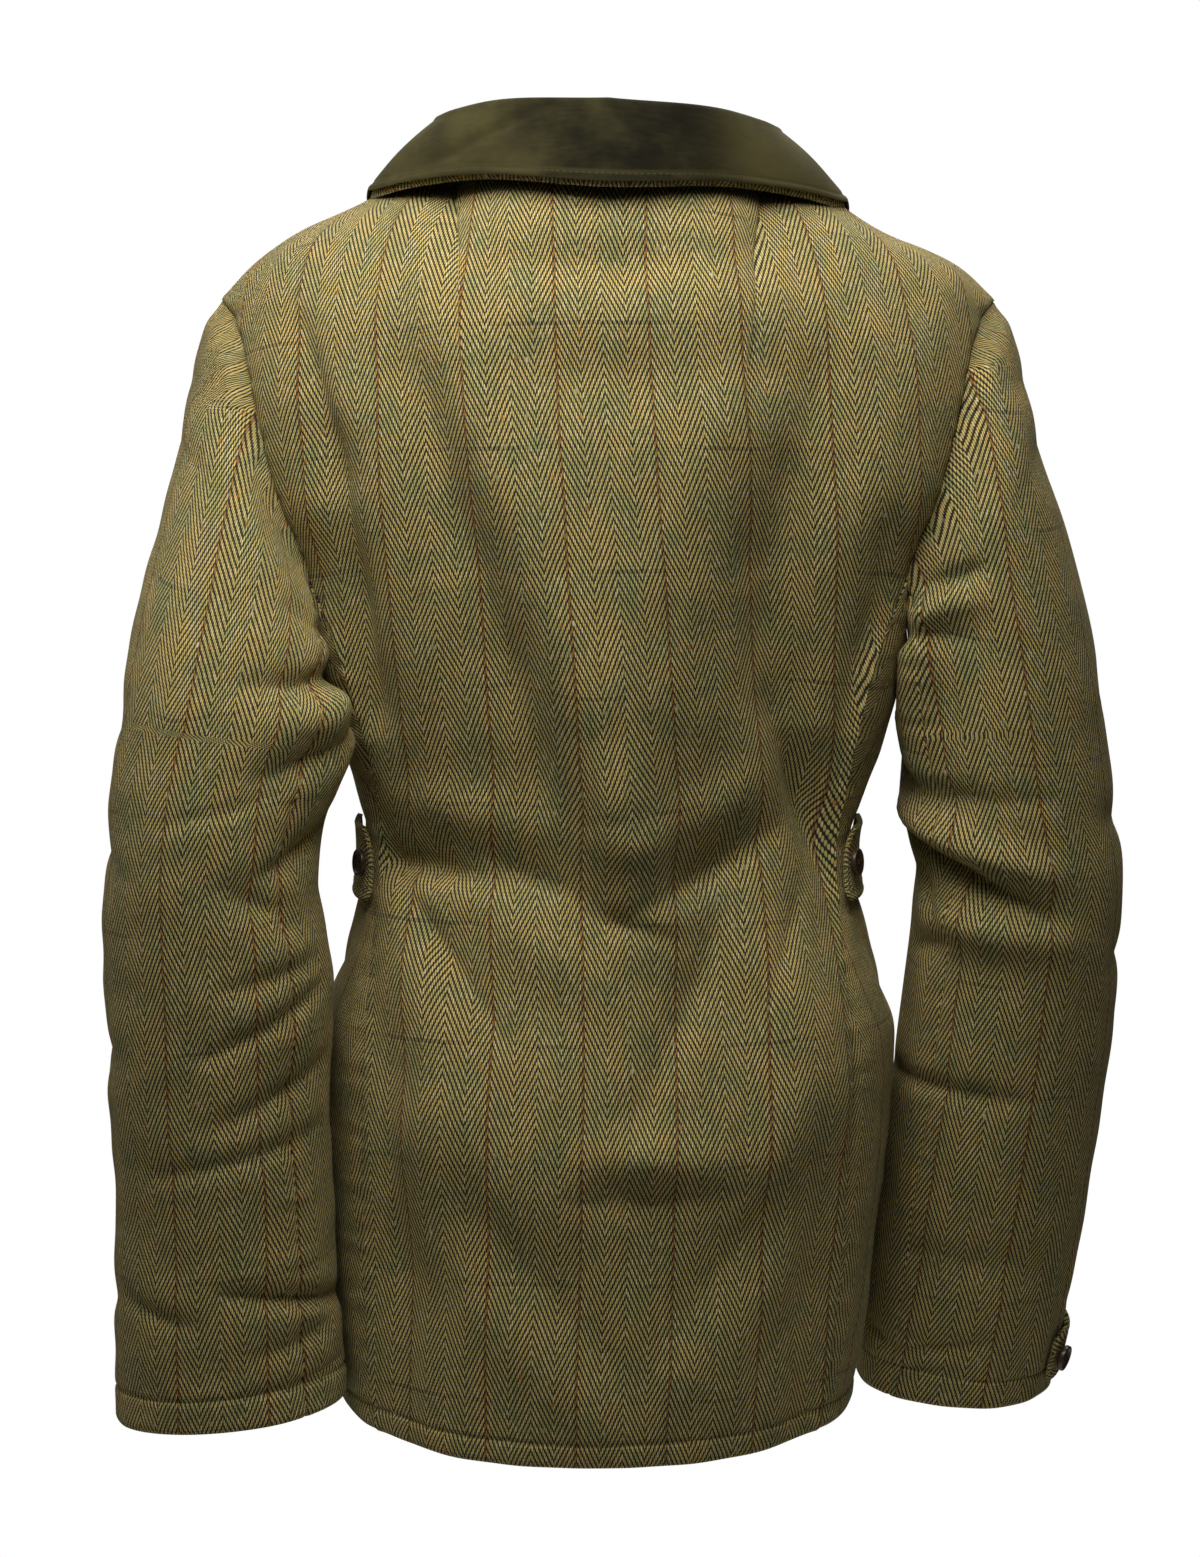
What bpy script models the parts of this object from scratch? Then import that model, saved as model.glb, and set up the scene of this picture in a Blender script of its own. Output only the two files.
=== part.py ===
"""A fitted tweed shooting jacket, closed and filled out as if worn.

Metres, +Z up. The front faces -Y and the wearer's left is +X. The origin is between the shoulders,
at the height of the collar's lower edge at the back of the neck. Every piece of cloth is a grid whose
points are worked out from sizes and short tables, and whose wall comes from Solidify.
"""
import math
from collections import namedtuple

import bmesh
import bpy
import numpy as np
from mathutils import Vector

# Cloth and sewing
WALL = 0.0015              # tweed with its backing
SEAM = 0.0003              # half of the gap between two panels at a seam
SLEEVE_SEAM = 0.0006       # the same along a sleeve's two seams
SEAM_EDGE = 0.003          # width of the first grid cell beside a seam
ARMHOLE_GAP = 0.0016       # from the armhole's edge to the sleeve's first ring
LAP = 0.020                # how far each front runs past the centre line
LAP_LIFT = 0.0023          # how far the right front lies over the left
LAP_RAMP = 0.060           # width over which the right front rises to that
LAP_FLAT = 0.3             # share of that width beside the centre line that has its full height

# Torso: squareness of the sections and the heights where it changes its cut
ROUND = 0.85               # exponent of the section curves, 1 for an ellipse
HEM = -0.677
HEM_RISE = 0.010           # how much higher the hem hangs at the sides
YOKE = -0.205              # where the side seam meets the armhole
UNDERARM_DROP = 0.041      # from there down to the bottom of the armhole
FRONT_EDGE = math.radians(113)     # angle of the front edge of the armhole, from the centre back
ARMHOLE_BACK = 0.36        # share of a turn round the armhole that runs along the back
ARMHOLE_FRONT = 0.64       # share of a turn where its part along the front begins

Section = namedtuple("Section", "height half_width back front seam_x sway")
SECTIONS = [
    Section(-0.677, 0.141, 0.124, 0.124, 0.121, 0.006),
    Section(-0.640, 0.147, 0.124, 0.124, 0.126, 0.005),
    Section(-0.580, 0.153, 0.123, 0.124, 0.130, 0.003),
    Section(-0.500, 0.158, 0.121, 0.122, 0.132, 0.001),
    Section(-0.455, 0.158, 0.115, 0.119, 0.132, 0.000),
    Section(-0.415, 0.147, 0.104, 0.112, 0.129, 0.000),
    Section(-0.380, 0.137, 0.095, 0.106, 0.126, 0.000),
    Section(-0.350, 0.135, 0.091, 0.105, 0.125, 0.000),
    Section(-0.320, 0.1415, 0.093, 0.109, 0.128, -0.002),
    Section(-0.285, 0.1545, 0.099, 0.118, 0.135, -0.001),
    Section(-0.245, 0.166, 0.105, 0.128, 0.146, 0.000),
    Section(-0.205, 0.175, 0.109, 0.133, 0.163, 0.000),
]

# Neck and shoulders
NECK_HALF_WIDTH = 0.082
NECK_Y = 0.002
NECK_TOP = 0.010           # height where the shoulder seam meets the neck
NECK_BACK = 0.072          # from there back to the nape
NECK_BACK_DROP = 0.004
NECK_FRONT = 0.082         # from there forward to the centre front
NECK_FRONT_DROP = 0.076

Shoulder = namedtuple("Shoulder", "x y height")
SHOULDER = [
    Shoulder(0.082, 0.002, 0.0100),
    Shoulder(0.110, 0.001, -0.0010),
    Shoulder(0.147, -0.002, -0.0165),
    Shoulder(0.175, -0.004, -0.0290),
    Shoulder(0.195, -0.006, -0.0420),
    Shoulder(0.211, -0.008, -0.0580),
]
SHOULDER_UNEVEN = 0.0045   # the left shoulder stands this much higher and the right lower
SHOULDER_UNEVEN_X = 0.155
SHOULDER_UNEVEN_WIDTH = 0.035

# Above the yoke line: the centre line, a line part of the way out, and the armhole edge
MID = 0.65                 # the middle line's place, as a share of the row's half width
Rise = namedtuple("Rise", "t centre_y centre_z mid_y mid_z edge_x edge_y edge_z")
BACK_RISE = [
    Rise(0.00, 0.109, -0.205, 0.086, -0.205, 0.163, 0.050, -0.205),
    Rise(0.25, 0.112, -0.150, 0.090, -0.152, 0.180, 0.056, -0.163),
    Rise(0.50, 0.112, -0.096, 0.085, -0.098, 0.191, 0.050, -0.118),
    Rise(0.75, 0.103, -0.043, 0.066, -0.050, 0.200, 0.031, -0.080),
    Rise(0.90, 0.089, -0.014, 0.035, -0.022, 0.207, 0.011, -0.063),
    Rise(1.00, 0.074, 0.006, -0.002, -0.012, 0.211, -0.008, -0.058),
]
FRONT_RISE = [
    Rise(0.00, -0.133, -0.205, -0.105, -0.205, 0.163, -0.060, -0.205),
    Rise(0.25, -0.131, -0.172, -0.102, -0.155, 0.171, -0.064, -0.163),
    Rise(0.50, -0.122, -0.137, -0.090, -0.103, 0.182, -0.058, -0.118),
    Rise(0.75, -0.104, -0.101, -0.068, -0.053, 0.196, -0.041, -0.080),
    Rise(0.90, -0.090, -0.080, -0.037, -0.022, 0.206, -0.024, -0.063),
    Rise(1.00, -0.080, -0.066, -0.002, -0.010, 0.211, -0.008, -0.058),
]

# Sleeves: rings down each arm, worked out on the +X side; the left arm hangs back, the right forward
Arm = namedtuple("Arm", "height x y half_width half_depth")
LEFT_ARM = [
    Arm(-0.285, 0.198, 0.068, 0.0635, 0.064),
    Arm(-0.325, 0.208, 0.073, 0.0585, 0.062),
    Arm(-0.365, 0.212, 0.075, 0.0570, 0.060),
    Arm(-0.418, 0.209, 0.074, 0.0615, 0.058),
    Arm(-0.470, 0.210, 0.071, 0.0600, 0.056),
    Arm(-0.543, 0.208, 0.066, 0.0590, 0.052),
    Arm(-0.600, 0.208, 0.063, 0.0615, 0.050),
    Arm(-0.660, 0.207, 0.060, 0.0625, 0.048),
]
RIGHT_ARM = [
    Arm(-0.285, 0.2145, 0.000, 0.0580, 0.062),
    Arm(-0.335, 0.222, -0.003, 0.0585, 0.060),
    Arm(-0.365, 0.228, -0.005, 0.0565, 0.058),
    Arm(-0.400, 0.2275, -0.008, 0.0585, 0.056),
    Arm(-0.463, 0.223, -0.017, 0.0595, 0.054),
    Arm(-0.530, 0.2165, -0.030, 0.0600, 0.052),
    Arm(-0.608, 0.208, -0.046, 0.0590, 0.050),
    Arm(-0.680, 0.199, -0.060, 0.0560, 0.048),
]
LEFT_CUFF_TILT = -0.09     # slope of the cuff's edge, down towards the outer side
RIGHT_CUFF_TILT = 0.0
# Which way the sleeve leaves the armhole, by the angle round it: 0 on top, a quarter turn at the back
Leave = namedtuple("Leave", "degrees x y z")
LEFT_LEAVE = [
    Leave(0, 0.26, 0.00, -0.96),
    Leave(45, 0.16, 0.44, -0.88),
    Leave(90, -0.32, 0.78, -0.54),
    Leave(130, -0.45, 0.85, -0.28),
    Leave(180, 0.55, 0.55, -0.62),
    Leave(230, 0.60, -0.10, -0.80),
    Leave(300, 0.30, -0.25, -0.92),
    Leave(360, 0.26, 0.00, -0.96),
]
RIGHT_LEAVE = [
    Leave(0, 0.22, 0.00, -0.97),
    Leave(45, 0.40, 0.35, -0.85),
    Leave(90, 0.45, 0.45, -0.77),
    Leave(130, 0.30, 0.60, -0.74),
    Leave(180, 0.55, 0.00, -0.83),
    Leave(230, 0.50, -0.35, -0.79),
    Leave(300, 0.30, -0.30, -0.90),
    Leave(360, 0.22, 0.00, -0.97),
]
HINDARM_SEAM = math.radians(135)
FOREARM_SEAM = math.radians(252)
BODY_CLEARANCE = 0.0035    # the sleeve hangs this far off the torso where it would touch
CLEARANCE_START = 0.25     # share of the cap over which that distance grows
SMALLEST_REACH = 0.01      # keeps that sum safe at the middle of the body
CAP_PULL = 0.9             # how long the cap holds its direction
HEAD_ROLL = 0.006          # fullness of the sleeve head just past the shoulder
HEAD_SHARE = 0.35          # share of the cap that it takes up

# Collar: from the neck seam up the stand, over the fold and down the leaf
COLLAR_WALL = 0.0012
COLLAR_LAYER = COLLAR_WALL + 0.0006
COLLAR_END = math.radians(170)
FOLD_RADIUS = 0.0055
FOLD_END = 0.12 * math.pi  # angle left of the turn where the leaf runs on straight
LEAF_BULGE = 0.002
COLLAR_UNEVEN = 0.003      # the left side of the collar stands this much higher and the right lower
UNDER_COLLAR_SHOWS = 0.003     # the under collar runs this far past the upper one
Collar = namedtuple("Collar", "degrees base fold_out fold_up leaf_out leaf_up")
COLLAR = [
    Collar(0, 0.0022, -0.004, 0.040, 0.030, -0.010),
    Collar(45, 0.0022, -0.001, 0.036, 0.036, -0.010),
    Collar(90, 0.0035, 0.007, 0.025, 0.046, -0.012),
    Collar(112, 0.0065, 0.008, 0.024, 0.048, -0.006),
    Collar(135, 0.0045, 0.008, 0.024, 0.050, -0.020),
    Collar(170, 0.0022, 0.005, 0.024, 0.042, -0.052),
]

# Largest folds: soft troughs, or ridges where the depth is negative
BackFold = namedtuple("BackFold", "x0 z0 x1 z1 width depth")
BACK_FOLDS = [
    BackFold(0.165, -0.075, 0.130, -0.215, 0.016, 0.006),
    BackFold(0.085, -0.080, -0.012, -0.230, 0.030, -0.004),
    BackFold(0.090, -0.190, 0.030, -0.300, 0.034, 0.005),
    BackFold(-0.115, -0.080, -0.065, -0.260, 0.028, -0.0035),
    BackFold(-0.090, -0.190, -0.070, -0.335, 0.022, 0.004),
    BackFold(0.030, -0.375, -0.050, -0.377, 0.018, 0.005),
    BackFold(0.108, -0.365, 0.065, -0.425, 0.020, 0.004),
    BackFold(-0.050, -0.400, -0.110, -0.350, 0.018, 0.004),
]
SleeveFold = namedtuple("SleeveFold", "degrees0 z0 degrees1 z1 width depth")
LEFT_SLEEVE_FOLDS = [
    SleeveFold(106, -0.250, 165, -0.258, 0.014, 0.005),
    SleeveFold(85, -0.318, 122, -0.320, 0.014, 0.004),
    SleeveFold(105, -0.430, 165, -0.465, 0.016, 0.005),
    SleeveFold(20, -0.596, 120, -0.606, 0.016, 0.004),
]
RIGHT_SLEEVE_FOLDS = [
    SleeveFold(165, -0.330, 80, -0.388, 0.016, 0.006),
    SleeveFold(150, -0.385, 110, -0.400, 0.014, 0.004),
    SleeveFold(160, -0.485, 105, -0.478, 0.016, 0.004),
    SleeveFold(165, -0.612, 95, -0.632, 0.016, 0.004),
]
SLEEVE_RADIUS = 0.06       # turns an angle round the sleeve into a length
FOLD_FADE = 0.30           # angle over which a fold dies out beside a sleeve's seam
CAP_FOLD_FADE = 1 / 3      # share of the cap over which it dies out towards the armhole
BACK_FOLD_FADE = 0.25      # share of the yoke over which a fold of the back dies out below the shoulders
BACK_FOLD_SIDES = 10       # power with which it dies out towards the side seams

# Tabs and buttons
TAB_THICKNESS = 0.003
TAB_GAP = 0.0012
WAIST_TAB_TOP = -0.341
WAIST_TAB_BOTTOM = -0.383
WAIST_TAB_LENGTH = 0.062
WAIST_TAB_PAST_SEAM = 0.003
WAIST_TAB_FLARE = 0.004    # how far its free corners stand off
CUFF_TAB_LOW = 0.012       # above the cuff's edge
CUFF_TAB_HIGH = 0.046
CUFF_TAB_TURN = math.radians(102)
LEFT_CUFF_TAB = math.radians(-20)      # where the tab's free end lies round each sleeve
RIGHT_CUFF_TAB = math.radians(40)
BUTTON_INSET = 0.011       # from a tab's free end to the middle of its button
SMALL_BUTTON = 0.0075      # radius
SMALL_BUTTON_THICKNESS = 0.003
FRONT_BUTTON = 0.010
FRONT_BUTTON_THICKNESS = 0.0038
FRONT_BUTTONS = 5
FRONT_BUTTON_TOP = -0.118
FRONT_BUTTON_PITCH = 0.102
BUTTON_GAP = 0.0015
BUTTON_SIDES = 16

# Lengths that turn a gap into a share of a panel's own directions
PANEL_REACH = 0.14         # from the centre to the side seam
SIDE_REACH = 0.06          # across the side of a front
YOKE_RISE = 0.12           # from the yoke line to the shoulder, at the seam's pace
WAIST_FROM = 0.54          # the waist's share of the way from the hem to the yoke line
WAIST_TO = 0.84

# Grid counts
NECK_COLUMNS = 5
SHOULDER_COLUMNS = 5
SIDE_COLUMNS = 6
SKIRT_ROWS = 8
WAIST_ROWS = 8
CHEST_ROWS = 3
LOWER_ROWS = SKIRT_ROWS + WAIST_ROWS + CHEST_ROWS
UPPER_ROWS = 9
CAP_ROWS = 9
ARM_ROWS = 17
TOP_SLEEVE_COLUMNS = 16
UNDER_SLEEVE_COLUMNS = 7
COLLAR_BACK_COLUMNS = 16
COLLAR_FRONT_COLUMNS = 8
STAND_ROWS = 2
FOLD_ROWS = 4
LEAF_ROWS = 4
WAIST_TAB_COLUMNS = 6
WAIST_TAB_ROWS = 4
CUFF_TAB_COLUMNS = 8
CUFF_TAB_ROWS = 3
LINE_SAMPLES = 400         # points looked at along the centre front to place the buttons
NO_LIMITS = (-10, 10, -10, 10)


def curve_through(rows, at):
    """Values between a table's rows, on a smooth curve through them; the first column is the place."""
    table = np.array(sorted(rows), dtype=float)
    place = table[:, 0]
    slope = np.gradient(table[:, 1:], place, axis=0)
    at = np.clip(np.asarray(at, dtype=float), place[0], place[-1])
    low = np.clip(np.searchsorted(place, at, side="right") - 1, 0, len(place) - 2)
    span = (place[low + 1] - place[low])[..., None]
    f = (at - place[low])[..., None] / span
    start = table[low, 1:] * (2 * f**3 - 3 * f**2 + 1) + slope[low] * span * (f**3 - 2 * f**2 + f)
    end = table[low + 1, 1:] * (3 * f**2 - 2 * f**3) + slope[low + 1] * span * (f**3 - f**2)
    return np.moveaxis(start + end, -1, 0)


def signed_power(value, exponent):
    return np.sign(value) * np.abs(value) ** exponent


def points(x, y, z):
    return np.stack(np.broadcast_arrays(x, y, z), axis=-1)


def hem_height(angle):
    """Height of the hem at an angle from the centre back."""
    return HEM + HEM_RISE * np.sin(angle) ** 2


def torso(angle, height, side=1):
    """A point of the torso: angle from the centre back, growing towards the given side's sleeve."""
    half_width, back, front, _, sway = curve_through(SECTIONS, height)
    x = half_width * signed_power(np.sin(angle), ROUND) + side * sway
    depth = np.where(np.cos(angle) > 0, back, front)
    return points(x, depth * signed_power(np.cos(angle), ROUND), height)


def seam_angle(height):
    """Angle of the side-back seam at a height."""
    half_width, _, _, seam_x, _ = curve_through(SECTIONS, height)
    return np.arcsin((seam_x / half_width) ** (1 / ROUND))


def top_edge(x, front, side):
    """The neck edge, and past it the shoulder seam."""
    inside = np.abs(x) < NECK_HALF_WIDTH
    round_neck = np.sqrt(np.clip(1 - (x / NECK_HALF_WIDTH) ** 2, 0, 1))
    reach = -NECK_FRONT if front else NECK_BACK
    drop = NECK_FRONT_DROP if front else NECK_BACK_DROP
    shoulder_y, shoulder_z = curve_through(SHOULDER, np.abs(x))
    uneven = np.exp(-((np.abs(x) - SHOULDER_UNEVEN_X) / SHOULDER_UNEVEN_WIDTH) ** 2)
    shoulder_z = shoulder_z + side * SHOULDER_UNEVEN * np.sign(x) * uneven
    y = np.where(inside, NECK_Y + reach * round_neck, shoulder_y)
    z = np.where(inside, NECK_TOP - drop * round_neck, shoulder_z)
    return points(x, y, z)


def even_curve(share, centre, mid, edge):
    """A symmetrical curve through a row's centre, middle and edge values."""
    m2 = MID**2
    c = ((mid - centre) - m2 * (edge - centre)) / (m2**2 - m2)
    b = (edge - centre) - c
    return centre + b * share**2 + c * share**4


def above_yoke(u, t, rise, front, side=1):
    """A point between the yoke line (t = 0) and the neck and shoulder edge (t = 1)."""
    yoke_angle = seam_angle(YOKE)
    share = signed_power(np.sin(u * yoke_angle) / np.sin(yoke_angle), ROUND)

    def row(at):
        centre_y, centre_z, mid_y, mid_z, edge_x, edge_y, edge_z = curve_through(rise, at)
        y = even_curve(share, centre_y, mid_y, edge_y)
        z = even_curve(share, centre_z, mid_z, edge_z)
        return points(edge_x * share, y, z)

    angle = math.pi - u * yoke_angle if front else u * yoke_angle
    foot = torso(angle, YOKE) - row(np.zeros_like(t))
    top = top_edge(SHOULDER[-1].x * share, front, side) - row(np.ones_like(t))
    return row(t) + foot * ((1 - t) ** 2)[..., None] + top * (t**4)[..., None]


def back_surface(u, v):
    """The back: u from -1 to 1 across, v from 0 at the hem to 1 at the yoke and 2 at the shoulders."""
    low = hem_height(u * seam_angle(HEM))
    height = low + np.clip(v, 0, 1) * (YOKE - low)
    below = torso(u * seam_angle(height), height)
    above = above_yoke(u, np.clip(v - 1, 0, 1), BACK_RISE, front=False)
    return np.where((v > 1)[..., None], above, below)


def front_surface(side):
    """A front worked out on the +X side: q is 0 at the centre line, 1 at the armhole, 2 at the seam."""
    def surface(q, v):
        beside = np.clip(q - 1, 0, 1)
        top = YOKE - UNDERARM_DROP * 4 * beside * (1 - beside)
        ahead = math.pi - np.minimum(q, 1) * (math.pi - FRONT_EDGE)
        low = hem_height(ahead + beside * (seam_angle(HEM) - FRONT_EDGE))
        height = low + np.clip(v, 0, 1) * (top - low)
        below = torso(ahead + beside * (seam_angle(height) - FRONT_EDGE), height, side)
        above = above_yoke(np.minimum(q, 1), np.clip(v - 1, 0, 1), FRONT_RISE, True, side)
        return np.where(((v > 1) & (q <= 1))[..., None], above, below)

    return surface


def outward(surface, u, v, limits, flip):
    """Unit normals of a surface, from small steps along it."""
    step = 0.002
    low_u, high_u, low_v, high_v = limits
    along_u = surface(np.minimum(u + step, high_u), v) - surface(np.maximum(u - step, low_u), v)
    along_v = surface(u, np.minimum(v + step, high_v)) - surface(u, np.maximum(v - step, low_v))
    normal = np.cross(along_u, along_v)
    normal /= np.linalg.norm(normal, axis=-1, keepdims=True)
    return -normal if flip else normal


def trough(across, along, start, end, width, depth):
    """Depth of one soft fold from start to end, fading out past both ends."""
    run = np.subtract(end, start)
    length = np.hypot(*run)
    forward = ((across - start[0]) * run[0] + (along - start[1]) * run[1]) / length
    sideways = ((across - start[0]) * run[1] - (along - start[1]) * run[0]) / length
    past = np.maximum(np.maximum(-forward, forward - length), 0)
    return depth * np.exp(-(sideways / width) ** 2 - (past / width) ** 2)


def folded_back(u, v):
    """The back with its largest folds pressed in."""
    point = back_surface(u, v)
    depth = np.zeros_like(u)
    for f in BACK_FOLDS:
        depth += trough(point[..., 0], point[..., 2], (f.x0, f.z0), (f.x1, f.z1), f.width, f.depth)
    depth *= 1 - np.abs(u) ** BACK_FOLD_SIDES
    depth *= np.clip((2 - v) / BACK_FOLD_FADE, 0, 1)
    return point - outward(back_surface, u, v, (-1, 1, 0, 2), True) * depth[..., None]


def lapped_front(q, v):
    """The right front, worked out on the +X side and raised over the left one along the centre line."""
    plain = front_surface(-1)
    point = plain(q, v)
    ramp = np.clip(1 + LAP_FLAT - np.abs(point[..., 0]) / LAP_RAMP, 0, 1)
    lift = LAP_LIFT * ramp * ramp * (3 - 2 * ramp)
    return point + outward(plain, q, v, (-0.5, 2, 0, 2), False) * lift[..., None]


def armhole(angle):
    """The armhole's edge: 0 at the shoulder, a quarter turn at the back, half a turn underneath."""
    share = np.mod(angle / (2 * math.pi), 1)
    rise = np.clip(1 - share / ARMHOLE_BACK, 0, 1)
    under = np.clip((ARMHOLE_FRONT - share) / (ARMHOLE_FRONT - ARMHOLE_BACK), 0, 1)
    fall = np.clip((share - ARMHOLE_FRONT) / (1 - ARMHOLE_FRONT), 0, 1)
    one = np.ones_like(share)
    front = front_surface(1)
    at_back = back_surface(one, 1 + rise)
    below = front(1 + under, one)
    at_front = front(one, 1 + fall)
    edge = np.where((share < ARMHOLE_BACK)[..., None], at_back, below)
    return np.where((share > ARMHOLE_FRONT)[..., None], at_front, edge)


def arm_ring(arm, angle, height):
    """A point of the sleeve's tube, and the way the arm runs there."""
    step = 0.004
    x, y, half_width, half_depth = curve_through(arm, height)
    low = curve_through(arm, height - step)
    high = curve_through(arm, height + step)
    run = points(low[0] - high[0], low[1] - high[1], -2 * step * np.ones_like(x))
    run /= np.linalg.norm(run, axis=-1, keepdims=True)
    side = points(1, 0, 0) - run * run[..., :1]
    side /= np.linalg.norm(side, axis=-1, keepdims=True)
    rear = np.cross(side, run)
    wide = (half_width * np.cos(angle))[..., None] * side
    deep = (half_depth * np.sin(angle))[..., None] * rear
    return points(x, y, height) + wide + deep, run


def clear_of_torso(point, clearance, side):
    """Moves points that lie within the torso's sections out to a clearance from them."""
    half_width, back, front, _, sway = curve_through(SECTIONS, point[..., 2])
    depth = np.where(point[..., 1] > 0, back, front)
    x = point[..., 0] - side * sway
    power = 2 / ROUND
    size = (np.abs(x) / half_width) ** power + (np.abs(point[..., 1]) / depth) ** power
    size = size ** (1 / power)
    reach = np.hypot(x, point[..., 1])
    wanted = 1 + clearance * size / np.maximum(reach, SMALLEST_REACH)
    push = np.where(point[..., 2] < YOKE, np.maximum(wanted / size, 1), 1)
    return points(x * push + side * sway, point[..., 1] * push, point[..., 2])


def sleeve_surface(arm, leave, tilt, side):
    """A sleeve worked out on the +X side: s is 0 at the armhole, 1 at the upper arm, 2 at the cuff."""
    def surface(angle, s):
        direction = np.moveaxis(curve_through(leave, np.degrees(np.mod(angle, 2 * math.pi))), 0, -1)
        direction = direction / np.linalg.norm(direction, axis=-1, keepdims=True)
        start = armhole(angle) + direction * ARMHOLE_GAP
        top_height = arm[0].height
        ring, run = arm_ring(arm, angle, np.full_like(angle, top_height))
        pull = CAP_PULL * np.linalg.norm(ring - start, axis=-1, keepdims=True)
        f = np.clip(s, 0, 1)[..., None]
        cap = start * (2 * f**3 - 3 * f**2 + 1) + direction * pull * (f**3 - 2 * f**2 + f)
        cap = cap + ring * (3 * f**2 - 2 * f**3) + run * pull * (f**3 - f**2)
        roll = HEAD_ROLL * np.sin(math.pi * np.clip(s / HEAD_SHARE, 0, 1)) * np.cos(angle / 2) ** 2
        cap = cap + points(roll, 0, 0)
        down = np.clip(s - 1, 0, 1)
        tube, _ = arm_ring(arm, angle, top_height + down * (arm[-1].height - top_height))
        lean = tilt * (tube[..., 0] - arm[-1].x) * down**4
        point = np.where((s > 1)[..., None], tube + points(0, 0, lean), cap)
        return clear_of_torso(point, BODY_CLEARANCE * np.clip(s / CLEARANCE_START, 0, 1), side)

    return surface


def folded_sleeve(plain, folds):
    """A sleeve's surface with its largest folds pressed in."""
    def folded(angle, s):
        point = plain(angle, s)
        depth = np.zeros_like(s)
        for f in folds:
            start = (math.radians(f.degrees0) * SLEEVE_RADIUS, f.z0)
            end = (math.radians(f.degrees1) * SLEEVE_RADIUS, f.z1)
            depth += trough(angle * SLEEVE_RADIUS, point[..., 2], start, end, f.width, f.depth)
        seams = np.minimum(np.abs(angle - HINDARM_SEAM), np.abs(angle - FOREARM_SEAM))
        fade = np.clip(seams / FOLD_FADE, 0, 1)
        depth *= fade * fade * (3 - 2 * fade) * np.clip(s / CAP_FOLD_FADE, 0, 1)
        normal = outward(plain, angle, s, (-math.pi, 2 * math.pi, 0, 2), True)
        return point - normal * depth[..., None]

    return folded


def collar_surface(past_end):
    """The upper collar's face: angle from the nape, and w from the neck seam (0) to the leaf's edge (3)."""
    def surface(angle, w):
        base, fold_out, fold_up, leaf_out, leaf_up = curve_through(COLLAR, np.degrees(np.abs(angle)))
        uneven = COLLAR_UNEVEN * np.sin(angle)
        fold_up = fold_up + uneven
        leaf_up = leaf_up + uneven
        stand = np.clip(w, 0, 1)
        turn = math.pi - (math.pi - FOLD_END) * np.clip(w - 1, 0, 1)
        leaf = np.clip(w - 2, 0, 1)
        slant = np.hypot(leaf_out - fold_out, leaf_up - fold_up)
        out_way = (leaf_out - fold_out) / slant
        up_way = (leaf_up - fold_up) / slant
        turn_out = fold_out + FOLD_RADIUS * np.cos(turn)
        turn_up = fold_up - FOLD_RADIUS + FOLD_RADIUS * np.sin(turn)
        from_out = fold_out + FOLD_RADIUS * math.cos(FOLD_END)
        from_up = fold_up - FOLD_RADIUS + FOLD_RADIUS * math.sin(FOLD_END)
        bulge = LEAF_BULGE * 4 * leaf * (1 - leaf)
        leaf_at_out = from_out + leaf * (leaf_out + past_end * out_way - from_out) - bulge * up_way
        leaf_at_up = from_up + leaf * (leaf_up + past_end * up_way - from_up) + bulge * out_way
        stand_out = stand * (fold_out - FOLD_RADIUS)
        stand_up = stand * (fold_up - FOLD_RADIUS)
        out = np.where(w <= 1, stand_out, np.where(w <= 2, turn_out, leaf_at_out))
        up = np.where(w <= 1, stand_up, np.where(w <= 2, turn_up, leaf_at_up))
        behind = np.cos(angle) > 0
        reach = np.where(behind, NECK_BACK, NECK_FRONT)
        drop = np.where(behind, NECK_BACK_DROP, -NECK_FRONT_DROP)
        x = (NECK_HALF_WIDTH + out) * np.sin(angle)
        y = NECK_Y + (reach + out) * np.cos(angle)
        z = NECK_TOP - drop * np.cos(angle) + base + up
        return points(x, y, z)

    return surface


def under_collar_surface(angle, w):
    """The under collar: the collar's points moved in by one layer, a little longer at the leaf's edge."""
    longer = collar_surface(UNDER_COLLAR_SHOWS)
    normal = outward(longer, angle, w, (-COLLAR_END, COLLAR_END, 0, 3), False)
    return longer(angle, w) - normal * COLLAR_LAYER


def waist_tab_surface(side):
    """A waist tab worked out on the +X side: along is 0 at its free end and 1 where it is sewn on."""
    def body(angle, height):
        return torso(angle, height, side)

    def surface(along, high):
        middle = np.full_like(along, (WAIST_TAB_TOP + WAIST_TAB_BOTTOM) / 2)
        height = middle + high * (WAIST_TAB_TOP - WAIST_TAB_BOTTOM) / 2
        girth = np.linalg.norm(body(seam_angle(middle), middle)[..., :2], axis=-1)
        angle = seam_angle(middle) + (along * WAIST_TAB_LENGTH - WAIST_TAB_PAST_SEAM) / girth
        flare = WAIST_TAB_FLARE * high**2 * (1 - along)
        normal = outward(body, angle, height, (0, math.pi, HEM, YOKE), True)
        return body(angle, height) + normal * (TAB_GAP + TAB_THICKNESS + flare)[..., None]

    return surface


def cuff_tab_surface(sleeve, arm, start):
    """A cuff tab on a sleeve: along is 0 at its free end, at the back, and high from 0 to 1."""
    def surface(along, high):
        angle = start - along * CUFF_TAB_TURN
        length = arm[0].height - arm[-1].height
        s = 2 - (CUFF_TAB_LOW + high * (CUFF_TAB_HIGH - CUFF_TAB_LOW)) / length
        normal = outward(sleeve, angle, s, (-2 * math.pi, 2 * math.pi, 0, 2), True)
        return sleeve(angle, s) + normal * (TAB_GAP + TAB_THICKNESS)

    return surface


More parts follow.
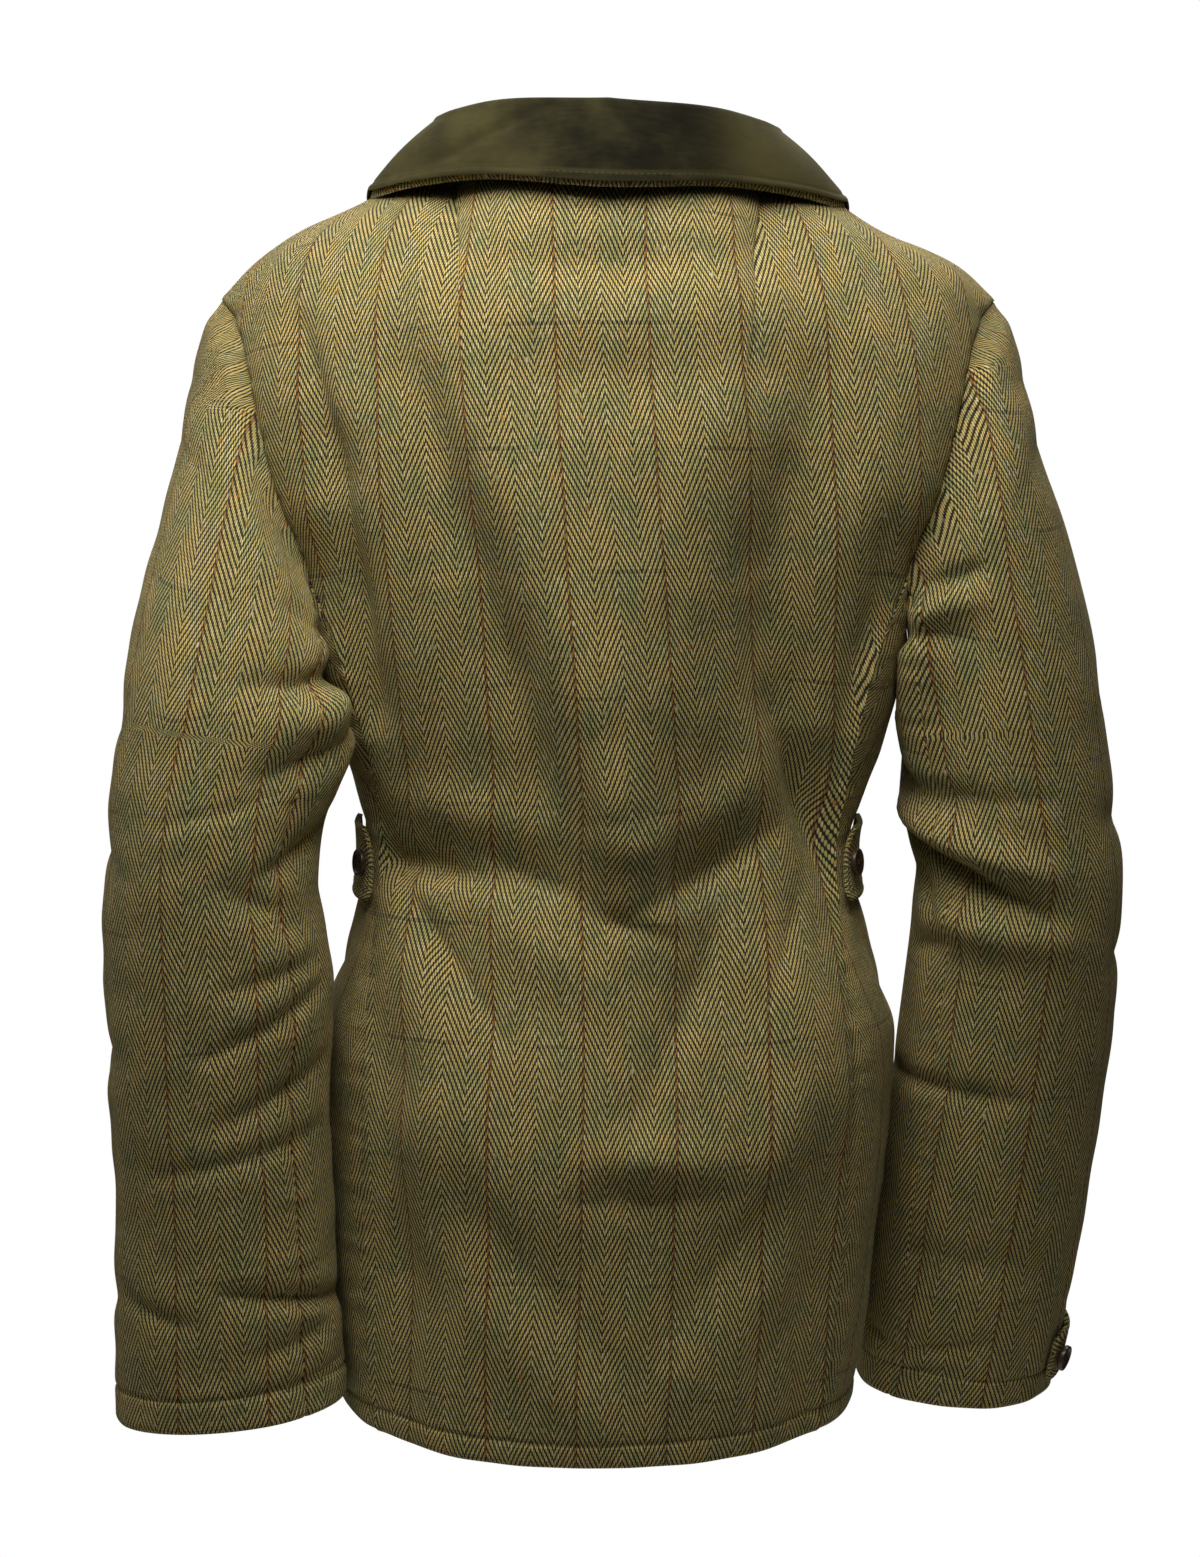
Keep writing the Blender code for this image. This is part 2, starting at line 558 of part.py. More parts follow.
def mirrored(surface):
    """The same surface on the -X side."""
    def other(u, v):
        return surface(u, v) * np.array([-1, 1, 1])

    return other


def material(name, colour, roughness):
    made = bpy.data.materials.new(name)
    made.use_nodes = True
    shader = made.node_tree.nodes["Principled BSDF"]
    shader.inputs["Base Color"].default_value = (*colour, 1)
    shader.inputs["Roughness"].default_value = roughness
    shader.inputs["Metallic"].default_value = 0
    return made


def cloth(name, surface, columns, rows, finish, thickness=WALL, flip=False, leave_out=None):
    """A piece of cloth: a grid laid on a surface, with a wall on its inner side."""
    across = len(columns) - 1
    upwards = len(rows) - 1
    grid = bmesh.new()
    bmesh.ops.create_grid(grid, x_segments=across, y_segments=upwards, size=1)
    column = {v: round((v.co.x + 1) / 2 * across) for v in grid.verts}
    row = {v: round((v.co.y + 1) / 2 * upwards) for v in grid.verts}
    if leave_out:
        spare = [f for f in grid.faces if leave_out([(column[v], row[v]) for v in f.verts])]
        bmesh.ops.delete(grid, geom=spare, context="FACES")
    u = np.array([columns[column[v]] for v in grid.verts])
    v = np.array([rows[row[v]] for v in grid.verts])
    for vertex, place in zip(grid.verts, surface(u, v)):
        vertex.co = Vector(place)
    if flip:
        bmesh.ops.reverse_faces(grid, faces=grid.faces)
    mesh = bpy.data.meshes.new(name)
    grid.to_mesh(mesh)
    grid.free()
    mesh.shade_smooth()
    mesh.materials.append(finish)
    piece = bpy.data.objects.new(name, mesh)
    JACKET.objects.link(piece)
    wall = piece.modifiers.new("wall", "SOLIDIFY")
    wall.thickness = thickness
    wall.offset = -1
    return piece


def button(name, place, normal, radius, thickness, finish):
    """A round button with softened rims, lying on the cloth at a place and facing along its normal."""
    middle = Vector(place) + Vector(normal) * (BUTTON_GAP + thickness / 2)
    turn = Vector(normal).to_track_quat("Z", "Y").to_euler()
    bpy.ops.mesh.primitive_cylinder_add(
        vertices=BUTTON_SIDES, radius=radius, depth=thickness, location=middle, rotation=turn)
    piece = bpy.context.active_object
    piece.name = name
    piece.data.materials.append(finish)
    for collection in list(piece.users_collection):
        collection.objects.unlink(piece)
    JACKET.objects.link(piece)
    rim = piece.modifiers.new("rim", "BEVEL")
    rim.width = thickness / 4
    rim.segments = 1
    rim.limit_method = "ANGLE"


def on_surface(surface, u, v, flip):
    """A place on a surface and the way it faces there."""
    u = np.array([u], dtype=float)
    v = np.array([v], dtype=float)
    place = surface(u, v)[0]
    normal = outward(surface, u, v, NO_LIMITS, flip)[0]
    return place, normal


def stops(*counted):
    """Grid stops from (start, end, count) runs that follow each other."""
    values = [counted[0][0]]
    for start, end, count in counted:
        values += [start + (end - start) * (i + 1) / count for i in range(count)]
    return values


def share_at(x):
    """The column of a panel's grid that meets the shoulder edge at x."""
    yoke_angle = float(seam_angle(YOKE))
    share = (x / SHOULDER[-1].x) ** (1 / ROUND)
    return math.asin(share * math.sin(yoke_angle)) / yoke_angle


def build_back():
    neck = neck_columns()
    edge = 1 - SEAM / PANEL_REACH
    inner = edge - SEAM_EDGE / PANEL_REACH
    half = neck + stops((neck[-1], inner, SHOULDER_COLUMNS), (inner, edge, 1))[1:]
    columns = [-u for u in reversed(half[1:])] + half
    cloth("back", folded_back, columns, panel_rows(), TWEED, flip=True)


def neck_columns():
    """Columns from the centre line to the neck point, at even turns round the neck."""
    turns = [math.pi / 2 * i / NECK_COLUMNS for i in range(NECK_COLUMNS + 1)]
    return [share_at(NECK_HALF_WIDTH * math.sin(turn)) for turn in turns]


def panel_rows():
    """Rows of the back and the fronts, from the hem to just short of the shoulder seam."""
    top = 2 - SEAM / YOKE_RISE
    inner = top - SEAM_EDGE / YOKE_RISE
    lower = stops((0, WAIST_FROM, SKIRT_ROWS), (WAIST_FROM, WAIST_TO, WAIST_ROWS))
    lower += stops((WAIST_TO, 1, CHEST_ROWS))[1:]
    return lower + stops((1, inner, UPPER_ROWS), (inner, top, 1))[1:]


def build_front(name, surface, flip):
    neck = neck_columns()
    lap = share_at(LAP * SHOULDER[-1].x / SECTIONS[-1].half_width)
    half = [-lap] + neck + stops((neck[-1], 1, SHOULDER_COLUMNS))[1:]
    seam_edge = 2 - SEAM / SIDE_REACH
    inner = seam_edge - SEAM_EDGE / SIDE_REACH
    columns = half + stops((1, inner, SIDE_COLUMNS), (inner, seam_edge, 1))[1:]
    last_front = len(half) - 1

    def in_armhole(corners):
        return max(c for c, _ in corners) > last_front and max(r for _, r in corners) > LOWER_ROWS

    cloth(name, surface, columns, panel_rows(), TWEED, flip=flip, leave_out=in_armhole)


def build_sleeve(side, plain, folds):
    surface = folded_sleeve(plain, folds)
    if side == "right":
        surface = mirrored(surface)
    rows = stops((0, 1, CAP_ROWS), (1, 2, ARM_ROWS))
    top = between_seams(FOREARM_SEAM - 2 * math.pi, HINDARM_SEAM, TOP_SLEEVE_COLUMNS)
    under = between_seams(HINDARM_SEAM, FOREARM_SEAM, UNDER_SLEEVE_COLUMNS)
    cloth("top_sleeve_" + side, surface, top, rows, TWEED, flip=side == "left")
    cloth("under_sleeve_" + side, surface, under, rows, TWEED, flip=side == "left")


def between_seams(start, end, count):
    """Columns of a sleeve piece, with a narrow one beside each seam."""
    first = start + SLEEVE_SEAM / SLEEVE_RADIUS
    last = end - SLEEVE_SEAM / SLEEVE_RADIUS
    edge = SEAM_EDGE / SLEEVE_RADIUS
    return stops((first, first + edge, 1), (first + edge, last - edge, count), (last - edge, last, 1))


def build_collar():
    side = math.pi / 2
    half = stops((0, side, COLLAR_BACK_COLUMNS // 2), (side, COLLAR_END, COLLAR_FRONT_COLUMNS))
    columns = [-angle for angle in reversed(half[1:])] + half
    rows = stops((0, 1, STAND_ROWS), (1, 2, FOLD_ROWS), (2, 3, LEAF_ROWS))
    cloth("upper_collar", collar_surface(0), columns, rows, MOLESKIN, COLLAR_WALL)
    cloth("under_collar", under_collar_surface, columns, rows, TWEED, COLLAR_WALL)


def build_waist_tab(side):
    surface = waist_tab_surface(1) if side == "left" else mirrored(waist_tab_surface(-1))
    turned = side == "left"
    columns = stops((0, 1, WAIST_TAB_COLUMNS))
    rows = stops((-1, 1, WAIST_TAB_ROWS))
    cloth("waist_tab_" + side, surface, columns, rows, TWEED, TAB_THICKNESS, turned)
    place, normal = on_surface(surface, BUTTON_INSET / WAIST_TAB_LENGTH, 0, turned)
    button("waist_button_" + side, place, normal, SMALL_BUTTON, SMALL_BUTTON_THICKNESS, HORN)


def build_cuff_tab(side, plain, arm, start):
    surface = cuff_tab_surface(plain, arm, start)
    if side == "right":
        surface = mirrored(surface)
    turned = side == "left"
    columns = stops((0, 1, CUFF_TAB_COLUMNS))
    rows = stops((0, 1, CUFF_TAB_ROWS))
    cloth("cuff_tab_" + side, surface, columns, rows, TWEED, TAB_THICKNESS, turned)
    length = CUFF_TAB_TURN * SLEEVE_RADIUS
    place, normal = on_surface(surface, BUTTON_INSET / length, 0.5, turned)
    button("cuff_button_" + side, place, normal, SMALL_BUTTON, SMALL_BUTTON_THICKNESS, HORN)


def build_front_buttons():
    surface = mirrored(lapped_front)
    heights = np.linspace(0, 2, LINE_SAMPLES)
    line = surface(np.zeros(LINE_SAMPLES), heights)[:, 2]
    for i in range(FRONT_BUTTONS):
        v = float(np.interp(FRONT_BUTTON_TOP - i * FRONT_BUTTON_PITCH, line, heights))
        place, normal = on_surface(surface, 0, v, True)
        name = "front_button_%d" % (i + 1)
        button(name, place, normal, FRONT_BUTTON, FRONT_BUTTON_THICKNESS, HORN)


for old in list(bpy.data.objects):
    bpy.data.objects.remove(old)

JACKET = bpy.data.collections.new("tweed_shooting_jacket")
bpy.context.scene.collection.children.link(JACKET)
TWEED = material("tweed", (0.19, 0.13, 0.04), 0.9)
MOLESKIN = material("moleskin", (0.040, 0.038, 0.013), 0.85)
HORN = material("horn", (0.030, 0.018, 0.010), 0.4)

left_sleeve = sleeve_surface(LEFT_ARM, LEFT_LEAVE, LEFT_CUFF_TILT, 1)
right_sleeve = sleeve_surface(RIGHT_ARM, RIGHT_LEAVE, RIGHT_CUFF_TILT, -1)
build_back()
build_front("front_left", front_surface(1), False)
build_front("front_right", mirrored(lapped_front), True)
build_sleeve("left", left_sleeve, LEFT_SLEEVE_FOLDS)
build_sleeve("right", right_sleeve, RIGHT_SLEEVE_FOLDS)
build_collar()
build_waist_tab("left")
build_waist_tab("right")
build_cuff_tab("left", left_sleeve, LEFT_ARM, LEFT_CUFF_TAB)
build_cuff_tab("right", right_sleeve, RIGHT_ARM, RIGHT_CUFF_TAB)
build_front_buttons()
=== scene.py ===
# %% [markdown]
# # A tweed shooting jacket, seen from the back
# The solids of the jacket are loaded first and stay as they are. They say where every piece of cloth
# lies. The cells below then dress each solid with finer cloth: a thin shell with creases, a woven
# finish, seams, hems and stitches. Everything is in metres, and the front of the jacket faces -Y.

# %% Load the solids
import math
from collections import namedtuple

import bpy
import numpy as np
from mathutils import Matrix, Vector


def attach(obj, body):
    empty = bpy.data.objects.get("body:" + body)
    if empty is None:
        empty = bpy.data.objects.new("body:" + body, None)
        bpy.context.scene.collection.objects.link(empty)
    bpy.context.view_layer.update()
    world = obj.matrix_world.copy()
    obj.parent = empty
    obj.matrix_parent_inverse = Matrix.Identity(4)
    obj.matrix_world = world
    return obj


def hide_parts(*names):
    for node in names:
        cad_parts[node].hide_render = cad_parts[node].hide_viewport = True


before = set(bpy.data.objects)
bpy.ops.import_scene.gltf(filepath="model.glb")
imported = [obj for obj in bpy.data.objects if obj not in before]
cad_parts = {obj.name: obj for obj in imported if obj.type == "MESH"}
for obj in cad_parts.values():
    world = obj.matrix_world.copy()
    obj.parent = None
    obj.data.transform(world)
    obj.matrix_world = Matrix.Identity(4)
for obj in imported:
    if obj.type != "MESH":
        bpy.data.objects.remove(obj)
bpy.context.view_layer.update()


def rows_of(kind, *rows):
    """A table whose rows have named values."""
    return [kind(*row) for row in rows]


# %% [markdown]
# ## Camera
# The jacket was photographed from behind and a little above, from about two metres away. A lens can be
# guessed by eye, but then every length in the picture is a guess too. Here the lens comes from the
# distance in pixels that fits the whole picture, so a size on the cloth lands on the right pixel.

# %% Camera
PHOTO_WIDTH = 1200
PHOTO_HEIGHT = 1557
FOCAL_PIXELS = 4000
MIDDLE_COLUMN = 608                     # the column of the picture where the jacket's middle lies
CAMERA_DISTANCE = 2.184
LOOK_DOWN = math.radians(8.36)
SENSOR = 36

camera_data = bpy.data.cameras.new("camera")
camera_data.sensor_fit = "VERTICAL"
camera_data.sensor_height = SENSOR
camera_data.lens = FOCAL_PIXELS / PHOTO_HEIGHT * SENSOR
camera_data.shift_x = -(MIDDLE_COLUMN - PHOTO_WIDTH / 2) / PHOTO_HEIGHT
camera = bpy.data.objects.new("camera", camera_data)
camera.location = (0, CAMERA_DISTANCE, 0)
sight = Vector((0, -math.cos(LOOK_DOWN), -math.sin(LOOK_DOWN)))
camera.rotation_euler = sight.to_track_quat("-Z", "Y").to_euler()
bpy.context.scene.collection.objects.link(camera)
bpy.context.scene.camera = camera
print("lens", round(camera_data.lens, 1), "mm")

# %% [markdown]
# ## Light and floor
# In a studio such a jacket hangs under a large soft box, so its shoulders are bright and its hem is dim.
# One wide lamp close above the back does that here. Weaker lamps keep the other sides readable. The
# world is white where the camera sees it and dim where it lights the cloth, or it would wash the folds out.

# %% Lamps
Lamp = namedtuple("Lamp", "name x y z aim_x aim_y aim_z wide deep power colour")
LAMPS = rows_of(
    Lamp,
    ("overhead", 0.13, 0.48, 0.62, 0.0, 0.05, -0.30, 0.9, 0.6, 12.2, (1.0, 0.95, 0.88)),
    ("above_camera", 0.10, 1.40, 1.00, 0, 0.05, -0.35, 1.4, 1.0, 3.4, (1.0, 0.98, 0.95)),
    ("front", -0.2, -1.1, 0.9, 0, -0.05, -0.40, 1.4, 1.0, 14, (1.0, 0.97, 0.93)),
    ("left", 1.5, -0.5, 0.5, 0, 0, -0.40, 1.0, 1.0, 3.5, (1.0, 0.98, 0.95)),
    ("right", -1.5, -0.5, 0.5, 0, 0, -0.40, 1.0, 1.0, 1.6, (1.0, 0.98, 0.95)),
)
for lamp in LAMPS:
    data = bpy.data.lights.new(lamp.name, "AREA")
    data.shape = "RECTANGLE"
    data.size = lamp.wide
    data.size_y = lamp.deep
    data.energy = lamp.power
    data.color = lamp.colour
    made = bpy.data.objects.new(lamp.name, data)
    made.location = (lamp.x, lamp.y, lamp.z)
    way = Vector((lamp.aim_x, lamp.aim_y, lamp.aim_z)) - made.location
    made.rotation_euler = way.to_track_quat("-Z", "Y").to_euler()
    bpy.context.scene.collection.objects.link(made)
bpy.context.scene.view_settings.view_transform = "Standard"
print("lamps:", len(LAMPS))

# %% World
AMBIENT = 0.02
AMBIENT_COLOUR = (1.0, 1.0, 0.98, 1)
world = bpy.data.worlds.new("studio")
world.use_nodes = True
bpy.context.scene.world = world
nodes = world.node_tree.nodes
nodes.clear()
seen = nodes.new("ShaderNodeLightPath")
dim = nodes.new("ShaderNodeBackground")
dim.inputs["Color"].default_value = AMBIENT_COLOUR
dim.inputs["Strength"].default_value = AMBIENT
white = nodes.new("ShaderNodeBackground")
white.inputs["Color"].default_value = (1, 1, 1, 1)
either = nodes.new("ShaderNodeMixShader")
output = nodes.new("ShaderNodeOutputWorld")
world.node_tree.links.new(seen.outputs["Is Camera Ray"], either.inputs[0])
world.node_tree.links.new(dim.outputs[0], either.inputs[1])
world.node_tree.links.new(white.outputs[0], either.inputs[2])
world.node_tree.links.new(either.outputs[0], output.inputs[0])
print("ambient light", AMBIENT)

# %% Floor
FLOOR_HEIGHT = -1.2
FLOOR_RADIUS = 1.15
FLOOR_CORNERS = 96
FLOOR_COLOUR = (0.82, 0.82, 0.80, 1)
FLOOR_ROUGHNESS = 0.8
bpy.ops.object.select_all(action="DESELECT")
bpy.ops.mesh.primitive_circle_add(vertices=FLOOR_CORNERS, radius=FLOOR_RADIUS, fill_type="NGON",
                                  location=(0, 0, FLOOR_HEIGHT))
floor = bpy.context.active_object
floor.name = "floor"
pale = bpy.data.materials.new("pale_floor")
pale.use_nodes = True
pale_shader = pale.node_tree.nodes["Principled BSDF"]
pale_shader.inputs["Base Color"].default_value = FLOOR_COLOUR
pale_shader.inputs["Roughness"].default_value = FLOOR_ROUGHNESS
floor.data.materials.append(pale)
print("floor", -FLOOR_HEIGHT, "m below the collar")

# %% [markdown]
# ## Sums in a material
# A woven pattern is a long sum, and wiring each step by hand hides what it says. This small class wraps
# a socket, so that a sum is written as a sum and adds its own Math nodes. Every other kind of node comes
# from one method, which takes the node's type, its settings and what its sockets get.

# %% A socket that can be used in sums
class Value:
    def __init__(self, socket):
        self.socket = socket
        self.tree = socket.id_data

    def node(self, kind, settings=None, sockets=None, output=0):
        made = self.tree.nodes.new(kind)
        for name, setting in (settings or {}).items():
            setattr(made, name, setting)
        for name, value in (sockets or {}).items():
            if isinstance(value, Value):
                self.tree.links.new(value.socket, made.inputs[name])
            else:
                made.inputs[name].default_value = value
        return Value(made.outputs[output])

    def sum(self, operation, first, second=0.0):
        return self.node("ShaderNodeMath", {"operation": operation}, {0: first, 1: second})

    def __add__(self, other):
        return self.sum("ADD", self, other)

    def __radd__(self, other):
        return self.sum("ADD", other, self)

    def __sub__(self, other):
        return self.sum("SUBTRACT", self, other)

    def __rsub__(self, other):
        return self.sum("SUBTRACT", other, self)

    def __mul__(self, other):
        return self.sum("MULTIPLY", self, other)

    def __rmul__(self, other):
        return self.sum("MULTIPLY", other, self)

    def __truediv__(self, other):
        return self.sum("DIVIDE", self, other)

    def floor(self):
        return self.sum("FLOOR", self)

    def there_and_back(self, length):
        return self.sum("PINGPONG", self, length)

    def wrapped(self, length):
        return self.sum("FLOORED_MODULO", self, length)

    def fade(self, low, high):
        """Goes smoothly from 0 at low to 1 at high, which may be the lower number."""
        return self.node("ShaderNodeMapRange", {"interpolation_type": "SMOOTHSTEP"},
                         {0: self, 1: low, 2: high, 3: 0.0, 4: 1.0})

    def blend(self, first, second):
        """The first colour where this is 0 and the second where it is 1."""
        return self.node("ShaderNodeMix", {"data_type": "RGBA"}, {0: self, 6: first, 7: second}, 2)

    def part(self, which):
        """One number of a point: 0 across, 1 up."""
        return self.node("ShaderNodeSeparateXYZ", None, {0: self}, which)

    def stretched(self, scale):
        return self.node("ShaderNodeMapping", None, {"Vector": self, "Scale": scale})

    def point(self, across, up):
        return self.node("ShaderNodeCombineXYZ", None, {0: across, 1: up})

    def noise(self, where, scale, detail=2.0, roughness=0.5):
        return self.node("ShaderNodeTexNoise", {"noise_dimensions": "3D"},
                         {"Vector": where, "Scale": scale, "Detail": detail, "Roughness": roughness})

    def chance(self, where):
        """A random number from 0 to 1 for each whole-number place."""
        return self.node("ShaderNodeTexWhiteNoise", {"noise_dimensions": "2D"}, {"Vector": where})


print("sums ready")

# %% Starting a finish
def paint(red, green, blue):
    """A colour as a screen shows it, from 0 to 255, as the light that the renderer counts with."""
    parts = np.array([red, green, blue]) / 255
    light = np.where(parts <= 0.04045, parts / 12.92, ((parts + 0.055) / 1.055) ** 2.4)
    return (*light.tolist(), 1)


def new_finish(name):
    """An empty material and its shader, with a start for its sums."""
    finish = bpy.data.materials.new(name)
    finish.use_nodes = True
    shader = finish.node_tree.nodes["Principled BSDF"]
    return finish, shader, Value(shader.inputs["Base Color"])


def plug(value, socket):
    value.tree.links.new(value.socket, socket)


def settle(shader, same):
    """Sets what is the same all over a surface."""
    for name, value in same.items():
        shader.inputs[name].default_value = value


print("white counts as", paint(255, 255, 255))

# %% [markdown]
# ## Tweed
# The cloth is a herringbone: each yarn that runs up the jacket floats over the ones that cross it, and
# every float starts one crossing yarn higher than the last, until the order turns round and makes a
# chevron. A picture of tweed would blur and repeat, so the yarns are counted instead. The map called
# cloth holds lengths on the cloth in metres. From it come the number of the upright yarn and the place
# along it, and those say where each pale float lies. Two upright yarns in rust and one crossing yarn in
# navy make the windowpane.

# %% Tweed: counting the yarns
END = 0.000825                  # width of one upright yarn
STRIPE_ENDS = 15                # upright yarns from a chevron's peak to its foot
PICK = 0.001786                 # height of one crossing yarn
REPEAT_PICKS = 3                # a float comes round every third crossing yarn
CHECK_ENDS = 4 * STRIPE_ENDS    # upright yarns from one rust line to the next
CHECK_PICKS = 36                # crossing yarns from one navy line to the next
DRIFT_ACROSS = 0.0022           # how far the yarns drift over a few centimetres
DRIFT_UP = 0.0016
SHAKE_ACROSS = 0.0004           # how far they shake from one to the next
SHAKE_UP = 0.0010

tweed, tweed_shader, start = new_finish("tweed_herringbone")
cloth_map = start.node("ShaderNodeUVMap", {"uv_map": "cloth"})
across = cloth_map.part(0)
up = cloth_map.part(1)
slow = start.noise(cloth_map, 16.0, 1.0)
shaky = start.noise(cloth_map, 420.0, 2.0)
end_place = (across + (slow - 0.5) * DRIFT_ACROSS + (shaky - 0.5) * SHAKE_ACROSS) / END
end_number = end_place.floor()
beside = end_place - end_number - 0.5
zigzag = end_number.there_and_back(STRIPE_ENDS)
pick_place = (up + (slow - 0.5) * DRIFT_UP + (shaky - 0.5) * SHAKE_UP) / PICK
float_place = (pick_place + zigzag) / REPEAT_PICKS
float_number = float_place.floor()
along = float_place - float_number - 0.5
print("a stripe is", round(END * STRIPE_ENDS * 1000, 1), "mm wide")

# %% Tweed: floats and colours
FLOAT_HALF_LENGTH = 0.345       # as a share of the room that a float has
FLOAT_HALF_WIDTH = 0.56
DYE_LENGTH = 0.006              # a crossing yarn changes its shade about this often
GOLD = paint(218, 188, 110)
MOSS = paint(163, 168, 108)
STRAW = paint(224, 204, 150)
RUST = paint(156, 96, 38)
BARK = paint(54, 50, 42)
PINE = paint(42, 46, 40)
NAVY = paint(24, 24, 32)
SMOKE = paint(60, 56, 48)

oval = ((along / FLOAT_HALF_LENGTH) * (along / FLOAT_HALF_LENGTH)
        + (beside / FLOAT_HALF_WIDTH) * (beside / FLOAT_HALF_WIDTH))
raised = oval.fade(1.15, 0.35)
luck = start.chance(start.point(end_number, float_number))
end_luck = start.chance(start.point(end_number, 7.0))
pick_number = (pick_place + 0.5).floor()
pick_luck = start.chance(start.point((across / DYE_LENGTH).floor(), pick_number))
patch = start.noise(cloth_map, 42.0, 3.0, 0.6)
hair = start.noise(cloth_map, 1500.0, 2.0, 0.7)

pale_yarn = (patch.fade(0.35, 0.68) * 0.6 + end_luck * 0.45).blend(GOLD, MOSS)
pale_yarn = (luck.fade(0.62, 1.0) * 0.8).blend(pale_yarn, STRAW)
rust_line = end_number.wrapped(CHECK_ENDS).fade(1.6, 1.4)
pale_yarn = (rust_line * (0.5 + luck * 0.4)).blend(pale_yarn, RUST)
dark_yarn = pick_luck.blend(BARK, PINE)
navy_line = pick_number.wrapped(CHECK_PICKS).fade(0.6, 0.4)
dark_yarn = navy_line.blend(dark_yarn, NAVY)
pale_yarn = (navy_line * slow.fade(0.45, 0.65) * 0.4).blend(pale_yarn, SMOKE)
weave = raised.blend(dark_yarn, pale_yarn)
print("a check is", round(END * CHECK_ENDS * 1000), "by", round(PICK * CHECK_PICKS * 1000), "mm")

# %% Tweed: flecks
FLECKS_IN_A_METRE = 120.0
FLECK_STRETCH = 0.55            # below 1, a fleck is longer along the upright yarn
FLECK_SAGE = paint(150, 158, 122)
FLECK_RUST = paint(168, 104, 40)
FLECK_CREAM = paint(222, 214, 184)

fleck_place = {"Vector": start.point(across, up * FLECK_STRETCH), "Scale": FLECKS_IN_A_METRE}
fleck_cell = start.node("ShaderNodeTexVoronoi", {"voronoi_dimensions": "2D"}, fleck_place)
fleck_luck = start.node("ShaderNodeTexVoronoi", {"voronoi_dimensions": "2D"}, fleck_place, 1)
fleck_kind = fleck_luck.part(0)
fleck_size = fleck_luck.part(1)
fleck = fleck_cell.fade(0.13, 0.06) * fleck_size.fade(0.70, 0.92)
fleck_paint = fleck_kind.fade(0.45, 0.55).blend(FLECK_SAGE, FLECK_RUST)
fleck_paint = fleck_kind.fade(0.90, 0.93).blend(fleck_paint, FLECK_CREAM)
weave = (fleck * 0.6).blend(weave, fleck_paint)
print("room for a fleck about every", round(1000 / FLECKS_IN_A_METRE, 1), "mm")

# %% Tweed: finish
worn = start.noise(cloth_map, 9.0, 2.0)
shade = 0.86 + worn * 0.16 + hair * 0.18
grey = start.node("ShaderNodeCombineColor", None, {0: shade, 1: shade, 2: shade})
shaded = start.node("ShaderNodeMix", {"data_type": "RGBA", "blend_type": "MULTIPLY"},
                    {0: 1.0, 6: weave, 7: grey}, 2)
plug(shaded, tweed_shader.inputs["Base Color"])
relief = raised + hair * 0.35 + fleck * 0.5
bump = start.node("ShaderNodeBump", None, {"Height": relief, "Strength": 0.75, "Distance": 0.00045})
plug(bump, tweed_shader.inputs["Normal"])
plug(0.98 - raised * 0.12, tweed_shader.inputs["Roughness"])
settle(tweed_shader, {"Sheen Weight": 0.12, "Sheen Roughness": 0.5, "Sheen Tint": (0.9, 0.8, 0.55, 1),
                      "Specular IOR Level": 0.2})
print("tweed has", len(tweed.node_tree.nodes), "nodes")

# %% [markdown]
# ## Moleskin
# The collar is moleskin: dense cotton with a short brushed nap. It is nearly one colour, but the nap
# lies in different ways after handling, so it shows soft lighter and darker patches. Noise does the
# patches, the streaks and the grain. A painted highlight makes both ends of the collar lighter than its
# middle, and another runs along its edge and beside its sewing; sheen also lights the edges.

# %% Moleskin
STREAKS = (90.0, 420.0, 1.0)    # streaks in a metre across, up and through the nap
# The painted highlight on the collar's ends has an edge that wanders by this much.
HIGHLIGHT_WANDER = 0.05                # how far the edge of a lighter patch wanders
DEEP_OLIVE = paint(13, 13, 7)
LIT_OLIVE = paint(78, 74, 42)
# The colour of the painted highlight along the collar's edge.
EDGE_HIGHLIGHT_OLIVE = paint(96, 92, 58)

moleskin, moleskin_shader, start = new_finish("moleskin_nap")
cloth_map = start.node("ShaderNodeUVMap", {"uv_map": "cloth"})
brushed = start.noise(cloth_map, 26.0, 3.0, 0.55)
streak = start.noise(cloth_map.stretched(STREAKS), 1.0, 3.0, 0.6)
grain = start.noise(cloth_map, 1700.0, 2.0, 0.7)
# Painted highlight: the colour grows lighter towards both ends of the collar, sooner on the +X side, with a
# wandering edge; the noise added on top is the nap.
place = cloth_map.part(0) + (brushed - 0.5) * HIGHLIGHT_WANDER
end_highlight = place.fade(-0.010, 0.075) * 0.50 + place.fade(-0.045, -0.090) * 0.65
nap_and_highlight = end_highlight + (brushed.fade(0.32, 0.72) - 0.5) * 0.40 + (streak - 0.5) * 0.35 + (grain - 0.5) * 0.45
# Painted highlight along the collar's raised edge and beside its sewing, read from the edge attribute.
edge = start.node("ShaderNodeAttribute", {"attribute_name": "edge"}, None, 2)
olive = nap_and_highlight.fade(-0.4, 1.2).blend(DEEP_OLIVE, LIT_OLIVE)
olive = (edge * 0.45).blend(olive, EDGE_HIGHLIGHT_OLIVE)
plug(olive, moleskin_shader.inputs["Base Color"])
plug(0.92 - nap_and_highlight * 0.14, moleskin_shader.inputs["Roughness"])
nap_bump = start.node("ShaderNodeBump", None,
                      {"Height": grain * 0.7 + streak * 0.5, "Strength": 0.35, "Distance": 0.0003})
plug(nap_bump, moleskin_shader.inputs["Normal"])
settle(moleskin_shader, {"Sheen Weight": 0.10, "Sheen Roughness": 0.35, "Sheen Tint": (0.62, 0.60, 0.36, 1),
                         "Specular IOR Level": 0.15})
print("moleskin has", len(moleskin.node_tree.nodes), "nodes")

# %% [markdown]
# ## Horn and thread
# The buttons are dark horn with cloudy streaks and a soft polish. The thread is plain dark olive with a
# twist, so it reads as sewn and not as a drawn line.

